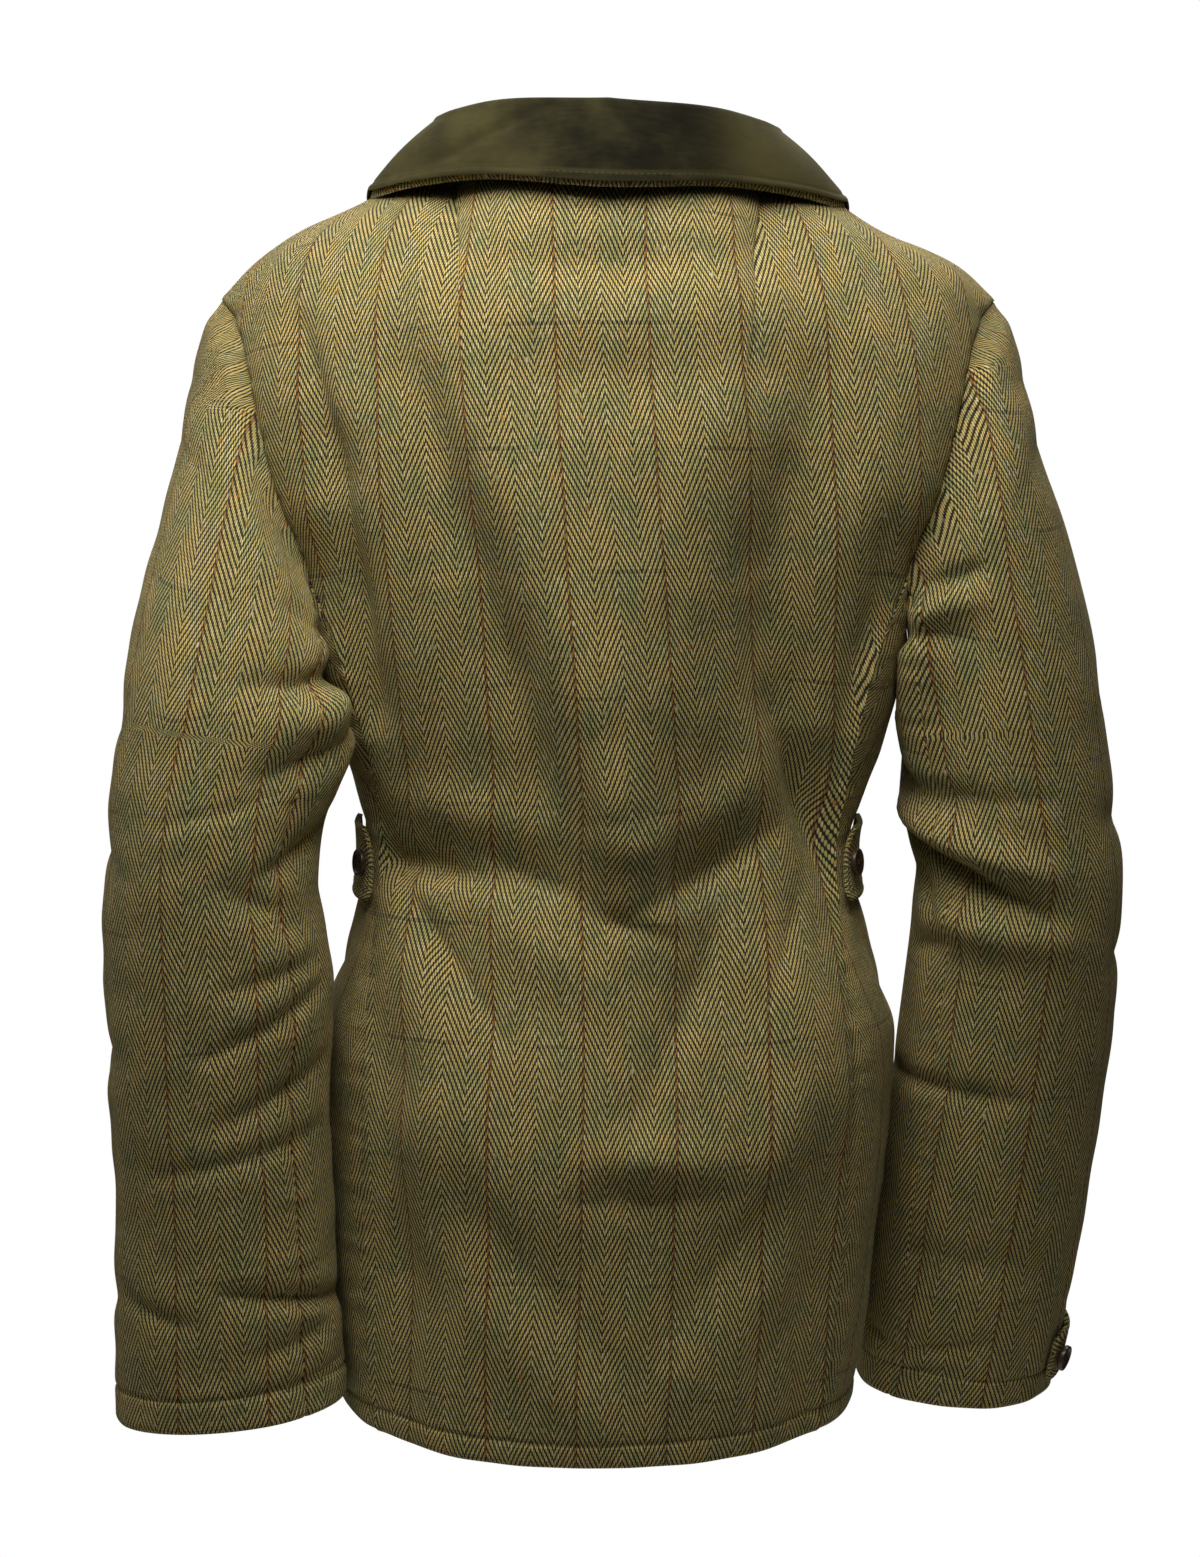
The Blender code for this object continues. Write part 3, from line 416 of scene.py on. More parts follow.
# %% Horn
VEINS = (900.0, 300.0, 300.0)   # veins in a metre along each axis
horn, horn_shader, start = new_finish("dark_horn")
place = start.node("ShaderNodeTexCoord", None, None, 3)
cloud = start.noise(place, 170.0, 3.0, 0.6)
vein = start.noise(place.stretched(VEINS), 1.0, 3.0, 0.7)
tone = cloud.fade(0.35, 0.75) * 0.7 + vein * 0.3
plug(tone.blend(paint(30, 22, 16), paint(92, 66, 44)), horn_shader.inputs["Base Color"])
plug(0.28 + vein * 0.22, horn_shader.inputs["Roughness"])
settle(horn_shader, {"Coat Weight": 0.25})
print("horn has", len(horn.node_tree.nodes), "nodes")

# %% Thread
thread, thread_shader, start = new_finish("olive_thread")
place = start.node("ShaderNodeTexCoord", None, None, 3)
twist = start.noise(place, 2600.0, 2.0)
plug(twist.blend(paint(46, 42, 25), paint(82, 74, 45)), thread_shader.inputs["Base Color"])
plug(0.75 + twist * 0.2, thread_shader.inputs["Roughness"])
print("thread has", len(thread.node_tree.nodes), "nodes")

# %% [markdown]
# ## The cut of the jacket
# Cloth can be sculpted by eye, but these pieces have to lie exactly where the solids are. So the sizes
# and tables that shaped the solids come again here, and a function gives a point of each panel for two
# numbers, one across the cloth and one up it. A fine grid can then be laid on any panel.

# %% Sizes of the body
SEAM = 0.0001                   # half the gap along the shoulder seam
SLEEVE_SEAM = -0.0004           # the two sleeve pieces lap a little, so no light comes through
ARMHOLE_GAP = 0.0006
LAP = 0.020                     # how far each front goes past the centre line
LAP_LIFT = 0.0023               # how far the right front stands off the left
LAP_RAMP = 0.060
LAP_FLAT = 0.3
ROUND = 0.85                    # below 1, a section is squarer than an ellipse
HEM = -0.677
HEM_RISE = 0.010                # the hem is higher at the sides
YOKE = -0.205                   # below it the body is a stack of sections
UNDERARM_DROP = 0.041
FRONT_EDGE = math.radians(113)  # where a front passes under the armhole
ARMHOLE_BACK = 0.36             # shares of the armhole's turn where the back and the front begin
ARMHOLE_FRONT = 0.64

Section = namedtuple("Section", "height half_width back front seam_x sway")
SECTIONS = rows_of(
    Section,
    (-0.677, 0.141, 0.124, 0.124, 0.121, 0.006),
    (-0.640, 0.147, 0.124, 0.124, 0.126, 0.005),
    (-0.580, 0.153, 0.123, 0.124, 0.130, 0.003),
    (-0.500, 0.158, 0.121, 0.122, 0.132, 0.001),
    (-0.455, 0.158, 0.115, 0.119, 0.132, 0.000),
    (-0.415, 0.147, 0.104, 0.112, 0.129, 0.000),
    (-0.380, 0.137, 0.095, 0.106, 0.126, 0.000),
    (-0.350, 0.135, 0.091, 0.105, 0.125, 0.000),
    (-0.320, 0.1415, 0.093, 0.109, 0.128, -0.002),
    (-0.285, 0.1545, 0.099, 0.118, 0.135, -0.001),
    (-0.245, 0.166, 0.105, 0.128, 0.146, 0.000),
    (-0.205, 0.175, 0.109, 0.133, 0.163, 0.000),
)
print("sections:", len(SECTIONS))

# %% Sizes of the neck and shoulders
NECK_HALF_WIDTH = 0.082
NECK_Y = 0.002
NECK_TOP = 0.010
NECK_BACK = 0.072
NECK_BACK_DROP = 0.004
NECK_FRONT = 0.082
NECK_FRONT_DROP = 0.076
SHOULDER_UNEVEN = 0.0045        # one shoulder is a little higher than the other
SHOULDER_UNEVEN_X = 0.155
SHOULDER_UNEVEN_WIDTH = 0.035
NECK_RISE = 0.006               # the shoulder seam climbs a little beside the neck
NECK_RISE_X = 0.110
NECK_RISE_WIDTH = 0.022
MID = 0.65                      # share across a panel where its middle is measured

Shoulder = namedtuple("Shoulder", "x y height")
SHOULDER = rows_of(
    Shoulder,
    (0.082, 0.002, 0.0100),
    (0.110, 0.001, -0.0010),
    (0.147, -0.002, -0.0165),
    (0.175, -0.004, -0.0290),
    (0.195, -0.006, -0.0420),
    (0.211, -0.008, -0.0580),
)
Rise = namedtuple("Rise", "t centre_y centre_z mid_y mid_z edge_x edge_y edge_z")
BACK_RISE = rows_of(
    Rise,
    (0.00, 0.109, -0.205, 0.086, -0.205, 0.163, 0.050, -0.205),
    (0.25, 0.112, -0.150, 0.090, -0.152, 0.180, 0.056, -0.163),
    (0.50, 0.112, -0.096, 0.085, -0.098, 0.191, 0.050, -0.118),
    (0.75, 0.103, -0.043, 0.066, -0.050, 0.200, 0.031, -0.080),
    (0.90, 0.089, -0.014, 0.035, -0.022, 0.207, 0.011, -0.063),
    (1.00, 0.074, 0.006, -0.002, -0.012, 0.211, -0.008, -0.058),
)
FRONT_RISE = rows_of(
    Rise,
    (0.00, -0.133, -0.205, -0.105, -0.205, 0.163, -0.060, -0.205),
    (0.25, -0.131, -0.172, -0.102, -0.155, 0.171, -0.064, -0.163),
    (0.50, -0.122, -0.137, -0.090, -0.103, 0.182, -0.058, -0.118),
    (0.75, -0.104, -0.101, -0.068, -0.053, 0.196, -0.041, -0.080),
    (0.90, -0.090, -0.080, -0.037, -0.022, 0.206, -0.024, -0.063),
    (1.00, -0.080, -0.066, -0.002, -0.010, 0.211, -0.008, -0.058),
)
print("shoulder seam from", SHOULDER[0].x, "to", SHOULDER[-1].x)

# %% Sizes of the arms
Arm = namedtuple("Arm", "height x y half_width half_depth")
LEFT_ARM = rows_of(
    Arm,
    (-0.285, 0.198, 0.068, 0.0635, 0.064),
    (-0.325, 0.208, 0.073, 0.0585, 0.062),
    (-0.365, 0.212, 0.075, 0.0570, 0.060),
    (-0.418, 0.209, 0.074, 0.0615, 0.058),
    (-0.470, 0.210, 0.071, 0.0600, 0.056),
    (-0.543, 0.208, 0.066, 0.0590, 0.052),
    (-0.600, 0.208, 0.063, 0.0615, 0.050),
    (-0.660, 0.207, 0.060, 0.0625, 0.048),
)
RIGHT_ARM = rows_of(
    Arm,
    (-0.285, 0.2145, 0.000, 0.0580, 0.062),
    (-0.335, 0.222, -0.003, 0.0585, 0.060),
    (-0.365, 0.228, -0.005, 0.0565, 0.058),
    (-0.400, 0.2275, -0.008, 0.0585, 0.056),
    (-0.463, 0.223, -0.017, 0.0595, 0.054),
    (-0.530, 0.2165, -0.030, 0.0600, 0.052),
    (-0.608, 0.208, -0.046, 0.0590, 0.050),
    (-0.680, 0.199, -0.060, 0.0560, 0.048),
)
print("sleeve rings:", len(LEFT_ARM), "and", len(RIGHT_ARM))

# %% How the sleeves leave their armholes
Leave = namedtuple("Leave", "degrees x y z")
LEFT_LEAVE = rows_of(
    Leave,
    (0, 0.26, 0.00, -0.96),
    (45, 0.16, 0.44, -0.88),
    (90, -0.32, 0.78, -0.54),
    (130, -0.45, 0.85, -0.28),
    (180, 0.55, 0.55, -0.62),
    (230, 0.60, -0.10, -0.80),
    (300, 0.30, -0.25, -0.92),
    (360, 0.26, 0.00, -0.96),
)
RIGHT_LEAVE = rows_of(
    Leave,
    (0, 0.22, 0.00, -0.97),
    (45, 0.40, 0.35, -0.85),
    (90, 0.45, 0.45, -0.77),
    (130, 0.30, 0.60, -0.74),
    (180, 0.55, 0.00, -0.83),
    (230, 0.50, -0.35, -0.79),
    (300, 0.30, -0.30, -0.90),
    (360, 0.22, 0.00, -0.97),
)
print("directions round an armhole:", len(LEFT_LEAVE))

# %% Sizes of the sleeves
LEFT_CUFF_TILT = -0.09
RIGHT_CUFF_TILT = 0.0
HINDARM_SEAM = math.radians(135)
FOREARM_SEAM = math.radians(252)
BODY_CLEARANCE = 0.0035         # a sleeve keeps this far from the body
CLEARANCE_START = 0.25
SMALLEST_REACH = 0.01
CAP_PULL = 0.9                  # how long a sleeve keeps the way in which it leaves the armhole
HEAD_ROLL = 0.006               # how far the sleeve's head swells out beside the shoulder seam
HEAD_SHARE = 0.35
SLEEVE_RADIUS = 0.06            # turns an angle round a sleeve into a length
RING_SETTLE = 0.05
RING_STEP = 0.004
print("a sleeve keeps", BODY_CLEARANCE * 1000, "mm from the body")

# %% Points on the torso
def curve_through(rows, at):
    """Values between a table's rows, on a smooth curve through them; the first column is the place."""
    table = np.array(sorted(rows), dtype=float)
    place = table[:, 0]
    slope = np.gradient(table[:, 1:], place, axis=0)
    at = np.clip(np.asarray(at, dtype=float), place[0], place[-1])
    low = np.clip(np.searchsorted(place, at, side="right") - 1, 0, len(place) - 2)
    span = (place[low + 1] - place[low])[..., None]
    f = (at - place[low])[..., None] / span
    start = table[low, 1:] * (2 * f**3 - 3 * f**2 + 1) + slope[low] * span * (f**3 - 2 * f**2 + f)
    end = table[low + 1, 1:] * (3 * f**2 - 2 * f**3) + slope[low + 1] * span * (f**3 - f**2)
    return np.moveaxis(start + end, -1, 0)


def signed_power(value, exponent):
    return np.sign(value) * np.abs(value) ** exponent


def points(x, y, z):
    return np.stack(np.broadcast_arrays(x, y, z), axis=-1)


def hem_height(angle):
    return HEM + HEM_RISE * np.sin(angle) ** 2


def torso(angle, height, side=1):
    """The body by angle from the centre back; side says which way it sways."""
    half_width, back, front, _, sway = curve_through(SECTIONS, height)
    x = half_width * signed_power(np.sin(angle), ROUND) + side * sway
    depth = np.where(np.cos(angle) > 0, back, front)
    return points(x, depth * signed_power(np.cos(angle), ROUND), height)


def seam_angle(height):
    half_width, _, _, seam_x, _ = curve_through(SECTIONS, height)
    return np.arcsin((seam_x / half_width) ** (1 / ROUND))


print("side seam at the hem", round(math.degrees(seam_angle(HEM))), "degrees from the centre back")

# %% Points above the yoke
def top_edge(x, front, side):
    """The neck edge, and past it the shoulder seam."""
    inside = np.abs(x) < NECK_HALF_WIDTH
    round_neck = np.sqrt(np.clip(1 - (x / NECK_HALF_WIDTH) ** 2, 0, 1))
    reach = -NECK_FRONT if front else NECK_BACK
    drop = NECK_FRONT_DROP if front else NECK_BACK_DROP
    shoulder_y, shoulder_z = curve_through(SHOULDER, np.abs(x))
    uneven = np.exp(-((np.abs(x) - SHOULDER_UNEVEN_X) / SHOULDER_UNEVEN_WIDTH) ** 2)
    shoulder_z = shoulder_z + side * SHOULDER_UNEVEN * np.sign(x) * uneven
    shoulder_z = shoulder_z + NECK_RISE * np.exp(-((np.abs(x) - NECK_RISE_X) / NECK_RISE_WIDTH) ** 2)
    y = np.where(inside, NECK_Y + reach * round_neck, shoulder_y)
    z = np.where(inside, NECK_TOP - drop * round_neck, shoulder_z)
    return points(x, y, z)


def even_curve(share, centre, mid, edge):
    """A curve that is the same on both sides, through its centre, its middle and its edge."""
    m2 = MID**2
    c = ((mid - centre) - m2 * (edge - centre)) / (m2**2 - m2)
    b = (edge - centre) - c
    return centre + b * share**2 + c * share**4


def above_yoke(u, t, rise, front, side=1):
    """The panel from the yoke line, where t is 0, to its top edge, where t is 1."""
    yoke_angle = seam_angle(YOKE)
    share = signed_power(np.sin(u * yoke_angle) / np.sin(yoke_angle), ROUND)

    def row(at):
        centre_y, centre_z, mid_y, mid_z, edge_x, edge_y, edge_z = curve_through(rise, at)
        y = even_curve(share, centre_y, mid_y, edge_y)
        z = even_curve(share, centre_z, mid_z, edge_z)
        return points(edge_x * share, y, z)

    angle = math.pi - u * yoke_angle if front else u * yoke_angle
    foot = torso(angle, YOKE) - row(np.zeros_like(t))
    top = top_edge(SHOULDER[-1].x * share, front, side) - row(np.ones_like(t))
    return row(t) + foot * ((1 - t) ** 2)[..., None] + top * (t**4)[..., None]


print("yoke line at", YOKE)

# %% Points on the back and the fronts
def back_surface(u, v):
    """u runs from -1 to 1 across, v from 0 at the hem to 1 at the yoke and 2 at the shoulders."""
    low = hem_height(u * seam_angle(HEM))
    height = low + np.clip(v, 0, 1) * (YOKE - low)
    below = torso(u * seam_angle(height), height)
    above = above_yoke(u, np.clip(v - 1, 0, 1), BACK_RISE, front=False)
    return np.where((v > 1)[..., None], above, below)


def front_surface(side):
    """Worked out on the +X side: q is 0 at the centre line, 1 at the armhole, 2 at the side seam."""
    def surface(q, v):
        beside = np.clip(q - 1, 0, 1)
        top = YOKE - UNDERARM_DROP * 4 * beside * (1 - beside)
        ahead = math.pi - np.minimum(q, 1) * (math.pi - FRONT_EDGE)
        low = hem_height(ahead + beside * (seam_angle(HEM) - FRONT_EDGE))
        height = low + np.clip(v, 0, 1) * (top - low)
        below = torso(ahead + beside * (seam_angle(height) - FRONT_EDGE), height, side)
        above = above_yoke(np.minimum(q, 1), np.clip(v - 1, 0, 1), FRONT_RISE, True, side)
        return np.where(((v > 1) & (q <= 1))[..., None], above, below)

    return surface


print("back and fronts ready")

# %% Which way a surface faces
NORMAL_STEP = 0.002
NO_LIMITS = (-10, 10, -10, 10)


def outward(surface, u, v, limits, flip=False):
    """Unit normals of a surface, from small steps along it."""
    step = NORMAL_STEP
    low_u, high_u, low_v, high_v = limits
    along_u = surface(np.minimum(u + step, high_u), v) - surface(np.maximum(u - step, low_u), v)
    along_v = surface(u, np.minimum(v + step, high_v)) - surface(u, np.maximum(v - step, low_v))
    normal = np.cross(along_u, along_v)
    normal /= np.linalg.norm(normal, axis=-1, keepdims=True)
    return -normal if flip else normal


def front_outward(plain, q, v):
    """Normals of a front, each taken from its own side of the armhole's edge."""
    low = outward(plain, q, np.minimum(v, 1), (-0.5, 2, 0, 1))
    high = outward(plain, np.minimum(q, 1), v, (-0.5, 1, 0, 2))
    return np.where(((v > 1) & (q <= 1))[..., None], high, low)


def lapped_front(q, v):
    """The right front, worked out on the +X side and raised over the left one."""
    plain = front_surface(-1)
    point = plain(q, v)
    ramp = np.clip(1 + LAP_FLAT - np.abs(point[..., 0]) / LAP_RAMP, 0, 1)
    lift = LAP_LIFT * ramp * ramp * (3 - 2 * ramp)
    return point + front_outward(plain, q, v) * lift[..., None]


print("right front raised by", LAP_LIFT * 1000, "mm")

# %% The armhole and the arm
def armhole(angle, back=back_surface, front=front_surface(1)):
    """The armhole's edge by angle: none at the shoulder, a quarter turn at the back, half underneath."""
    share = np.mod(angle / (2 * math.pi), 1)
    rise = np.clip(1 - share / ARMHOLE_BACK, 0, 1)
    under = np.clip((ARMHOLE_FRONT - share) / (ARMHOLE_FRONT - ARMHOLE_BACK), 0, 1)
    fall = np.clip((share - ARMHOLE_FRONT) / (1 - ARMHOLE_FRONT), 0, 1)
    one = np.ones_like(share)
    edge = np.where((share < ARMHOLE_BACK)[..., None], back(one, 1 + rise), front(1 + under, one))
    return np.where((share > ARMHOLE_FRONT)[..., None], front(one, 1 + fall), edge)


def arm_ring(arm, angle, height):
    """A ring of the arm, and the way the arm runs there; the rings at both ends lean half as much."""
    x, y, half_width, half_depth = curve_through(arm, height)
    above = np.minimum(height + RING_STEP, arm[0].height)
    below = np.maximum(height - RING_STEP, arm[-1].height)
    high = curve_through(arm, above)
    low = curve_through(arm, below)
    near = np.clip(np.minimum(arm[0].height - height, height - arm[-1].height) / RING_SETTLE, 0, 1)
    lean = (0.5 + 0.5 * near * near * (3 - 2 * near)) / (above - below)
    run = points((low[0] - high[0]) * lean, (low[1] - high[1]) * lean, -1)
    run /= np.linalg.norm(run, axis=-1, keepdims=True)
    side = points(1, 0, 0) - run * run[..., :1]
    side /= np.linalg.norm(side, axis=-1, keepdims=True)
    rear = np.cross(side, run)
    wide = (half_width * np.cos(angle))[..., None] * side
    deep = (half_depth * np.sin(angle))[..., None] * rear
    return points(x, y, height) + wide + deep, run


print("top of the armhole:", armhole(np.zeros(1)).round(3).tolist())

# %% Points on the sleeves
def clear_of_torso(point, clearance, side):
    """The point, pushed out of the body where it is in it or too near."""
    half_width, back, front, _, sway = curve_through(SECTIONS, point[..., 2])
    depth = np.where(point[..., 1] > 0, back, front)
    x = point[..., 0] - side * sway
    power = 2 / ROUND
    size = (np.abs(x) / half_width) ** power + (np.abs(point[..., 1]) / depth) ** power
    size = size ** (1 / power)
    reach = np.hypot(x, point[..., 1])
    wanted = 1 + clearance * size / np.maximum(reach, SMALLEST_REACH)
    push = np.where(point[..., 2] < YOKE, np.maximum(wanted / size, 1), 1)
    return points(x * push + side * sway, point[..., 1] * push, point[..., 2])


def sleeve_surface(arm, leave, tilt, side):
    """Worked out on the +X side: s is 0 at the armhole, 1 at the upper arm, 2 at the cuff."""
    def surface(angle, s):
        direction = np.moveaxis(curve_through(leave, np.degrees(np.mod(angle, 2 * math.pi))), 0, -1)
        direction = direction / np.linalg.norm(direction, axis=-1, keepdims=True)
        start = armhole(angle) + direction * ARMHOLE_GAP
        top_height = arm[0].height
        ring, run = arm_ring(arm, angle, np.full_like(angle, top_height))
        pull = CAP_PULL * np.linalg.norm(ring - start, axis=-1, keepdims=True)
        f = np.clip(s, 0, 1)[..., None]
        cap = start * (2 * f**3 - 3 * f**2 + 1) + direction * pull * (f**3 - 2 * f**2 + f)
        cap = cap + ring * (3 * f**2 - 2 * f**3) + run * pull * (f**3 - f**2)
        roll = HEAD_ROLL * np.sin(math.pi * np.clip(s / HEAD_SHARE, 0, 1)) * np.cos(angle / 2) ** 2
        cap = cap + points(roll, 0, 0)
        down = np.clip(s - 1, 0, 1)
        tube, _ = arm_ring(arm, angle, top_height + down * (arm[-1].height - top_height))
        lean = tilt * (tube[..., 0] - arm[-1].x) * down**4
        point = np.where((s > 1)[..., None], tube + points(0, 0, lean), cap)
        return clear_of_torso(point, BODY_CLEARANCE * np.clip(s / CLEARANCE_START, 0, 1), side)

    return surface


def mirrored(surface):
    """The same surface on the -X side."""
    def other(u, v):
        return surface(u, v) * np.array([-1, 1, 1])

    return other


print("sleeves ready")

# %% [markdown]
# ## Creases
# A cloth simulation finds its own creases, but not the ones in the picture. So the creases are listed one
# by one, as a tailor would point at them: where one starts and ends, how wide and how deep it is. Each one
# is a soft trough with a low swell on both sides, and a negative depth makes a ridge. A few crossing
# waves of small height keep the rest from looking pressed.

# %% One crease
# It starts at across0 and up0 and ends at across1 and up1; lean widens or narrows one side of it.
Crease = namedtuple("Crease", "across0 up0 across1 up1 width depth lean", defaults=[1])
SWELL = 0.3                     # how much of a crease's depth comes back as a swell beside it
SWELL_WIDTH = 2.2
RUN_ON = 1.6                    # how far a crease runs on past its ends, in widths
END_DEPTH = 0.6                 # share of its depth that a crease has at its ends
FLOOR_SLOPE = 1.2               # how steep a trough's sides are
FLOOR_ROUND = 0.08              # how round its floor is


def crease(across, up, c, start, end):
    """One crease from start to end: a trough has a narrow floor, and a ridge a round back."""
    run = np.subtract(end, start)
    length = np.hypot(*run)
    forward = ((across - start[0]) * run[0] + (up - start[1]) * run[1]) / length
    sideways = ((across - start[0]) * run[1] - (up - start[1]) * run[0]) / length
    past = np.maximum(np.maximum(-forward, forward - length), 0)
    middle = np.sin(math.pi * np.clip(forward / length, 0, 1))
    ends = np.exp(-(past / (RUN_ON * c.width)) ** 2) * (END_DEPTH + (1 - END_DEPTH) * middle)
    offset = (sideways / np.where(sideways < 0, c.width * c.lean, c.width)) ** 2
    floor = np.exp(-FLOOR_SLOPE * (np.sqrt(offset + FLOOR_ROUND) - math.sqrt(FLOOR_ROUND)))
    shape = floor if c.depth > 0 else np.exp(-offset)
    return c.depth * ends * (shape - SWELL * np.exp(-offset / SWELL_WIDTH**2))


def add_creases(depth, across, up, creases, wide=1, high=1, lower=0):
    """Adds a table of creases; wide and high turn the table's numbers into lengths."""
    for c in creases:
        begin = (c.across0 * wide, c.up0 * high - lower)
        finish = (c.across1 * wide, c.up1 * high - lower)
        depth = depth + crease(across, up, c, begin, finish)
    return depth


print("a crease runs on for", RUN_ON, "widths")

# %% The waves between
WAVES = 8
WAVE_SUM = 3                    # brings the sum of the waves to about 1
WAVE_TURN = 2.4
WAVE_LAG = 1.7
SHORTEST_WAVE = 0.030
WAVE_GROWTH = 0.011


def waves(across, up, first_turn):
    """Low crossing waves, about 1 high."""
    total = np.zeros_like(across)
    for i in range(WAVES):
        turn = first_turn + WAVE_TURN * i
        along = across * math.cos(turn) + up * math.sin(turn)
        total += np.sin(2 * math.pi * along / (SHORTEST_WAVE + WAVE_GROWTH * i) + WAVE_LAG * i)
    return total / WAVE_SUM


print("waves between the creases:", WAVES)

# %% Edges, hems and seams
def rolled_edge(distance, depth=0.0011, reach=0.003):
    """How far cloth turns in beside an edge, where it is sewn or folded."""
    near = np.clip(1 - distance / reach, 0, 1)
    return depth * near * near


HEM_GROOVE = 0.0010
HEM_GROOVE_WIDTH = 0.0016
HEM_RAISE = 0.0007


def hem_band(distance, line):
    """A turned hem: a rolled edge, a slightly raised band, and the groove that the sewing pulls in."""
    groove = HEM_GROOVE * np.exp(-((distance - line) / HEM_GROOVE_WIDTH) ** 2)
    band = HEM_RAISE * np.clip(1 - distance / line, 0, 1) ** 0.5
    return rolled_edge(distance, depth=0.0018, reach=0.004) + groove - band


PUCKER = 0.00035
PUCKER_REACH = 0.010
LONG_PUCKER = 0.017
SHORT_PUCKER = 0.011


def pucker(along_seam, distance):
    """The small ripples that sewing leaves beside a seam."""
    turn = 2 * math.pi * along_seam
    ripple = np.sin(turn / LONG_PUCKER) + 0.6 * np.sin(turn / SHORT_PUCKER + 1)
    return PUCKER * ripple * np.exp(-(distance / PUCKER_REACH) ** 2)


VALLEYS = ((0.0014, 0.005), (0.0036, 0.022))    # depth and reach of a narrow hollow and a wide one


def armhole_valley(distance, v):
    """The hollow that a sleeve's seam pulls into the panel beside it."""
    beside = np.clip((v - 0.9) / 0.2, 0, 1) * np.clip((2 - v) / 0.12, 0, 1)
    return beside * sum(depth * np.exp(-(distance / reach) ** 2) for depth, reach in VALLEYS)


print("hem groove", HEM_GROOVE * 1000, "mm deep")

# %% Creases of the back
# Each row has x and height at both ends.
BACK_CREASES = rows_of(
    Crease,
    (0.045, -0.032, -0.050, -0.032, 0.022, 0.0130),
    (0.055, -0.094, -0.075, -0.094, 0.040, 0.0100),
    (0.088, -0.055, 0.028, -0.250, 0.026, -0.0120),
    (0.094, -0.115, 0.040, -0.285, 0.023, 0.0170),
    (-0.057, -0.080, -0.050, -0.230, 0.032, -0.0070),
    (-0.106, -0.130, -0.086, -0.215, 0.032, 0.0170),
    (-0.084, -0.205, -0.108, -0.290, 0.030, 0.0180),
    (0.010, -0.190, -0.010, -0.358, 0.040, -0.0190),
    (-0.006, -0.325, -0.014, -0.364, 0.023, -0.0150),
    (0.000, -0.280, -0.012, -0.350, 0.030, -0.0120),
    (0.162, -0.075, 0.144, -0.145, 0.009, 0.0120, 2.0),
    (0.146, -0.135, 0.126, -0.270, 0.011, 0.0150, 2.0),
    (-0.150, -0.190, -0.134, -0.300, 0.014, 0.0090),
    (0.130, -0.358, 0.068, -0.363, 0.018, 0.0180, 0.5),
    (0.060, -0.356, 0.014, -0.372, 0.012, 0.0055, 0.6),
    (0.004, -0.382, -0.026, -0.392, 0.008, 0.0090),
    (-0.030, -0.372, -0.074, -0.350, 0.017, 0.0165, 0.5),
    (-0.096, -0.285, -0.126, -0.362, 0.017, 0.0230),
    (0.112, -0.322, 0.050, -0.332, 0.014, -0.0040),
    (-0.034, -0.336, -0.080, -0.314, 0.014, -0.0040),
    (0.114, -0.366, 0.062, -0.438, 0.009, 0.0085),
    (0.110, -0.395, 0.086, -0.470, 0.022, -0.0120),
    (0.060, -0.378, 0.015, -0.412, 0.020, -0.0090),
    (0.116, -0.500, 0.072, -0.503, 0.044, -0.0125),
    (-0.072, -0.498, -0.112, -0.494, 0.044, -0.0135),
    (-0.112, -0.160, -0.116, -0.285, 0.034, 0.0090),
    (0.090, -0.695, -0.090, -0.695, 0.050, 0.0080),
    (-0.064, -0.380, -0.024, -0.470, 0.017, 0.0095),
    (-0.082, -0.390, -0.110, -0.460, 0.022, -0.0110),
    (-0.106, -0.373, -0.085, -0.426, 0.009, 0.0050),
    (-0.008, -0.506, -0.034, -0.508, 0.014, -0.0090),
    (0.006, -0.530, -0.050, -0.528, 0.011, 0.0055),
    (0.078, -0.575, 0.018, -0.642, 0.018, -0.0050),
    (0.060, -0.550, 0.004, -0.612, 0.018, 0.0060),
    (-0.105, -0.560, -0.050, -0.620, 0.018, -0.0040),
    (-0.080, -0.540, -0.045, -0.590, 0.018, 0.0050),
    (0.118, -0.480, 0.110, -0.640, 0.020, 0.0100),
    (-0.118, -0.500, -0.108, -0.630, 0.018, 0.0060),
)
print("back creases:", len(BACK_CREASES))

# %% The back without its neck corners
NECK_CORNER = 0.44              # where u passes from the neck to the shoulder
CORNER_WIDTH = 0.19
CORNER_REACH = 0.22             # the back is smoothed over this share of itself to each side
CORNER_STEPS = np.linspace(-CORNER_REACH, CORNER_REACH, 31)
CORNER_WEIGHTS = np.cos(CORNER_STEPS / CORNER_REACH * math.pi / 2) ** 2
CORNER_WEIGHTS /= CORNER_WEIGHTS.sum()
SMALLEST_SHARE = 0.001


def soft_back(u, v):
    """The plain back, with the corner of the neck smoothed out below the collar."""
    here = back_surface(u, v)
    share = np.exp(-((np.abs(u) - NECK_CORNER) / CORNER_WIDTH) ** 4)
    share *= np.clip((v - 1) / 0.3, 0, 1) * np.clip((2 - v) / 0.06, 0, 1)
    near = share > SMALLEST_SHARE
    mean = 0
    for step, weight in zip(CORNER_STEPS, CORNER_WEIGHTS):
        mean = mean + weight * back_surface(np.clip(u[near] + step, -1, 1), v[near])
    here[near] += (mean - here[near]) * share[near][:, None]
    return here


print("neck corners smoothed with", len(CORNER_STEPS), "steps")

# %% The creased back
BACK_LIMITS = (-1, 1, 0, 2)
BACK_WAVES = 0.0007
HEM_LINE = 0.0135               # from the hem's edge up to its sewing
SIDE_FADE = 24                  # power with which creases die out towards the side seams
TOP_FADE = 0.25
BACK_REACH = 0.16               # turns a share across the back into a length
LOWER_LENGTH = 0.472            # from the hem to the yoke line
UPPER_LENGTH = 0.20             # from the yoke line to the shoulders


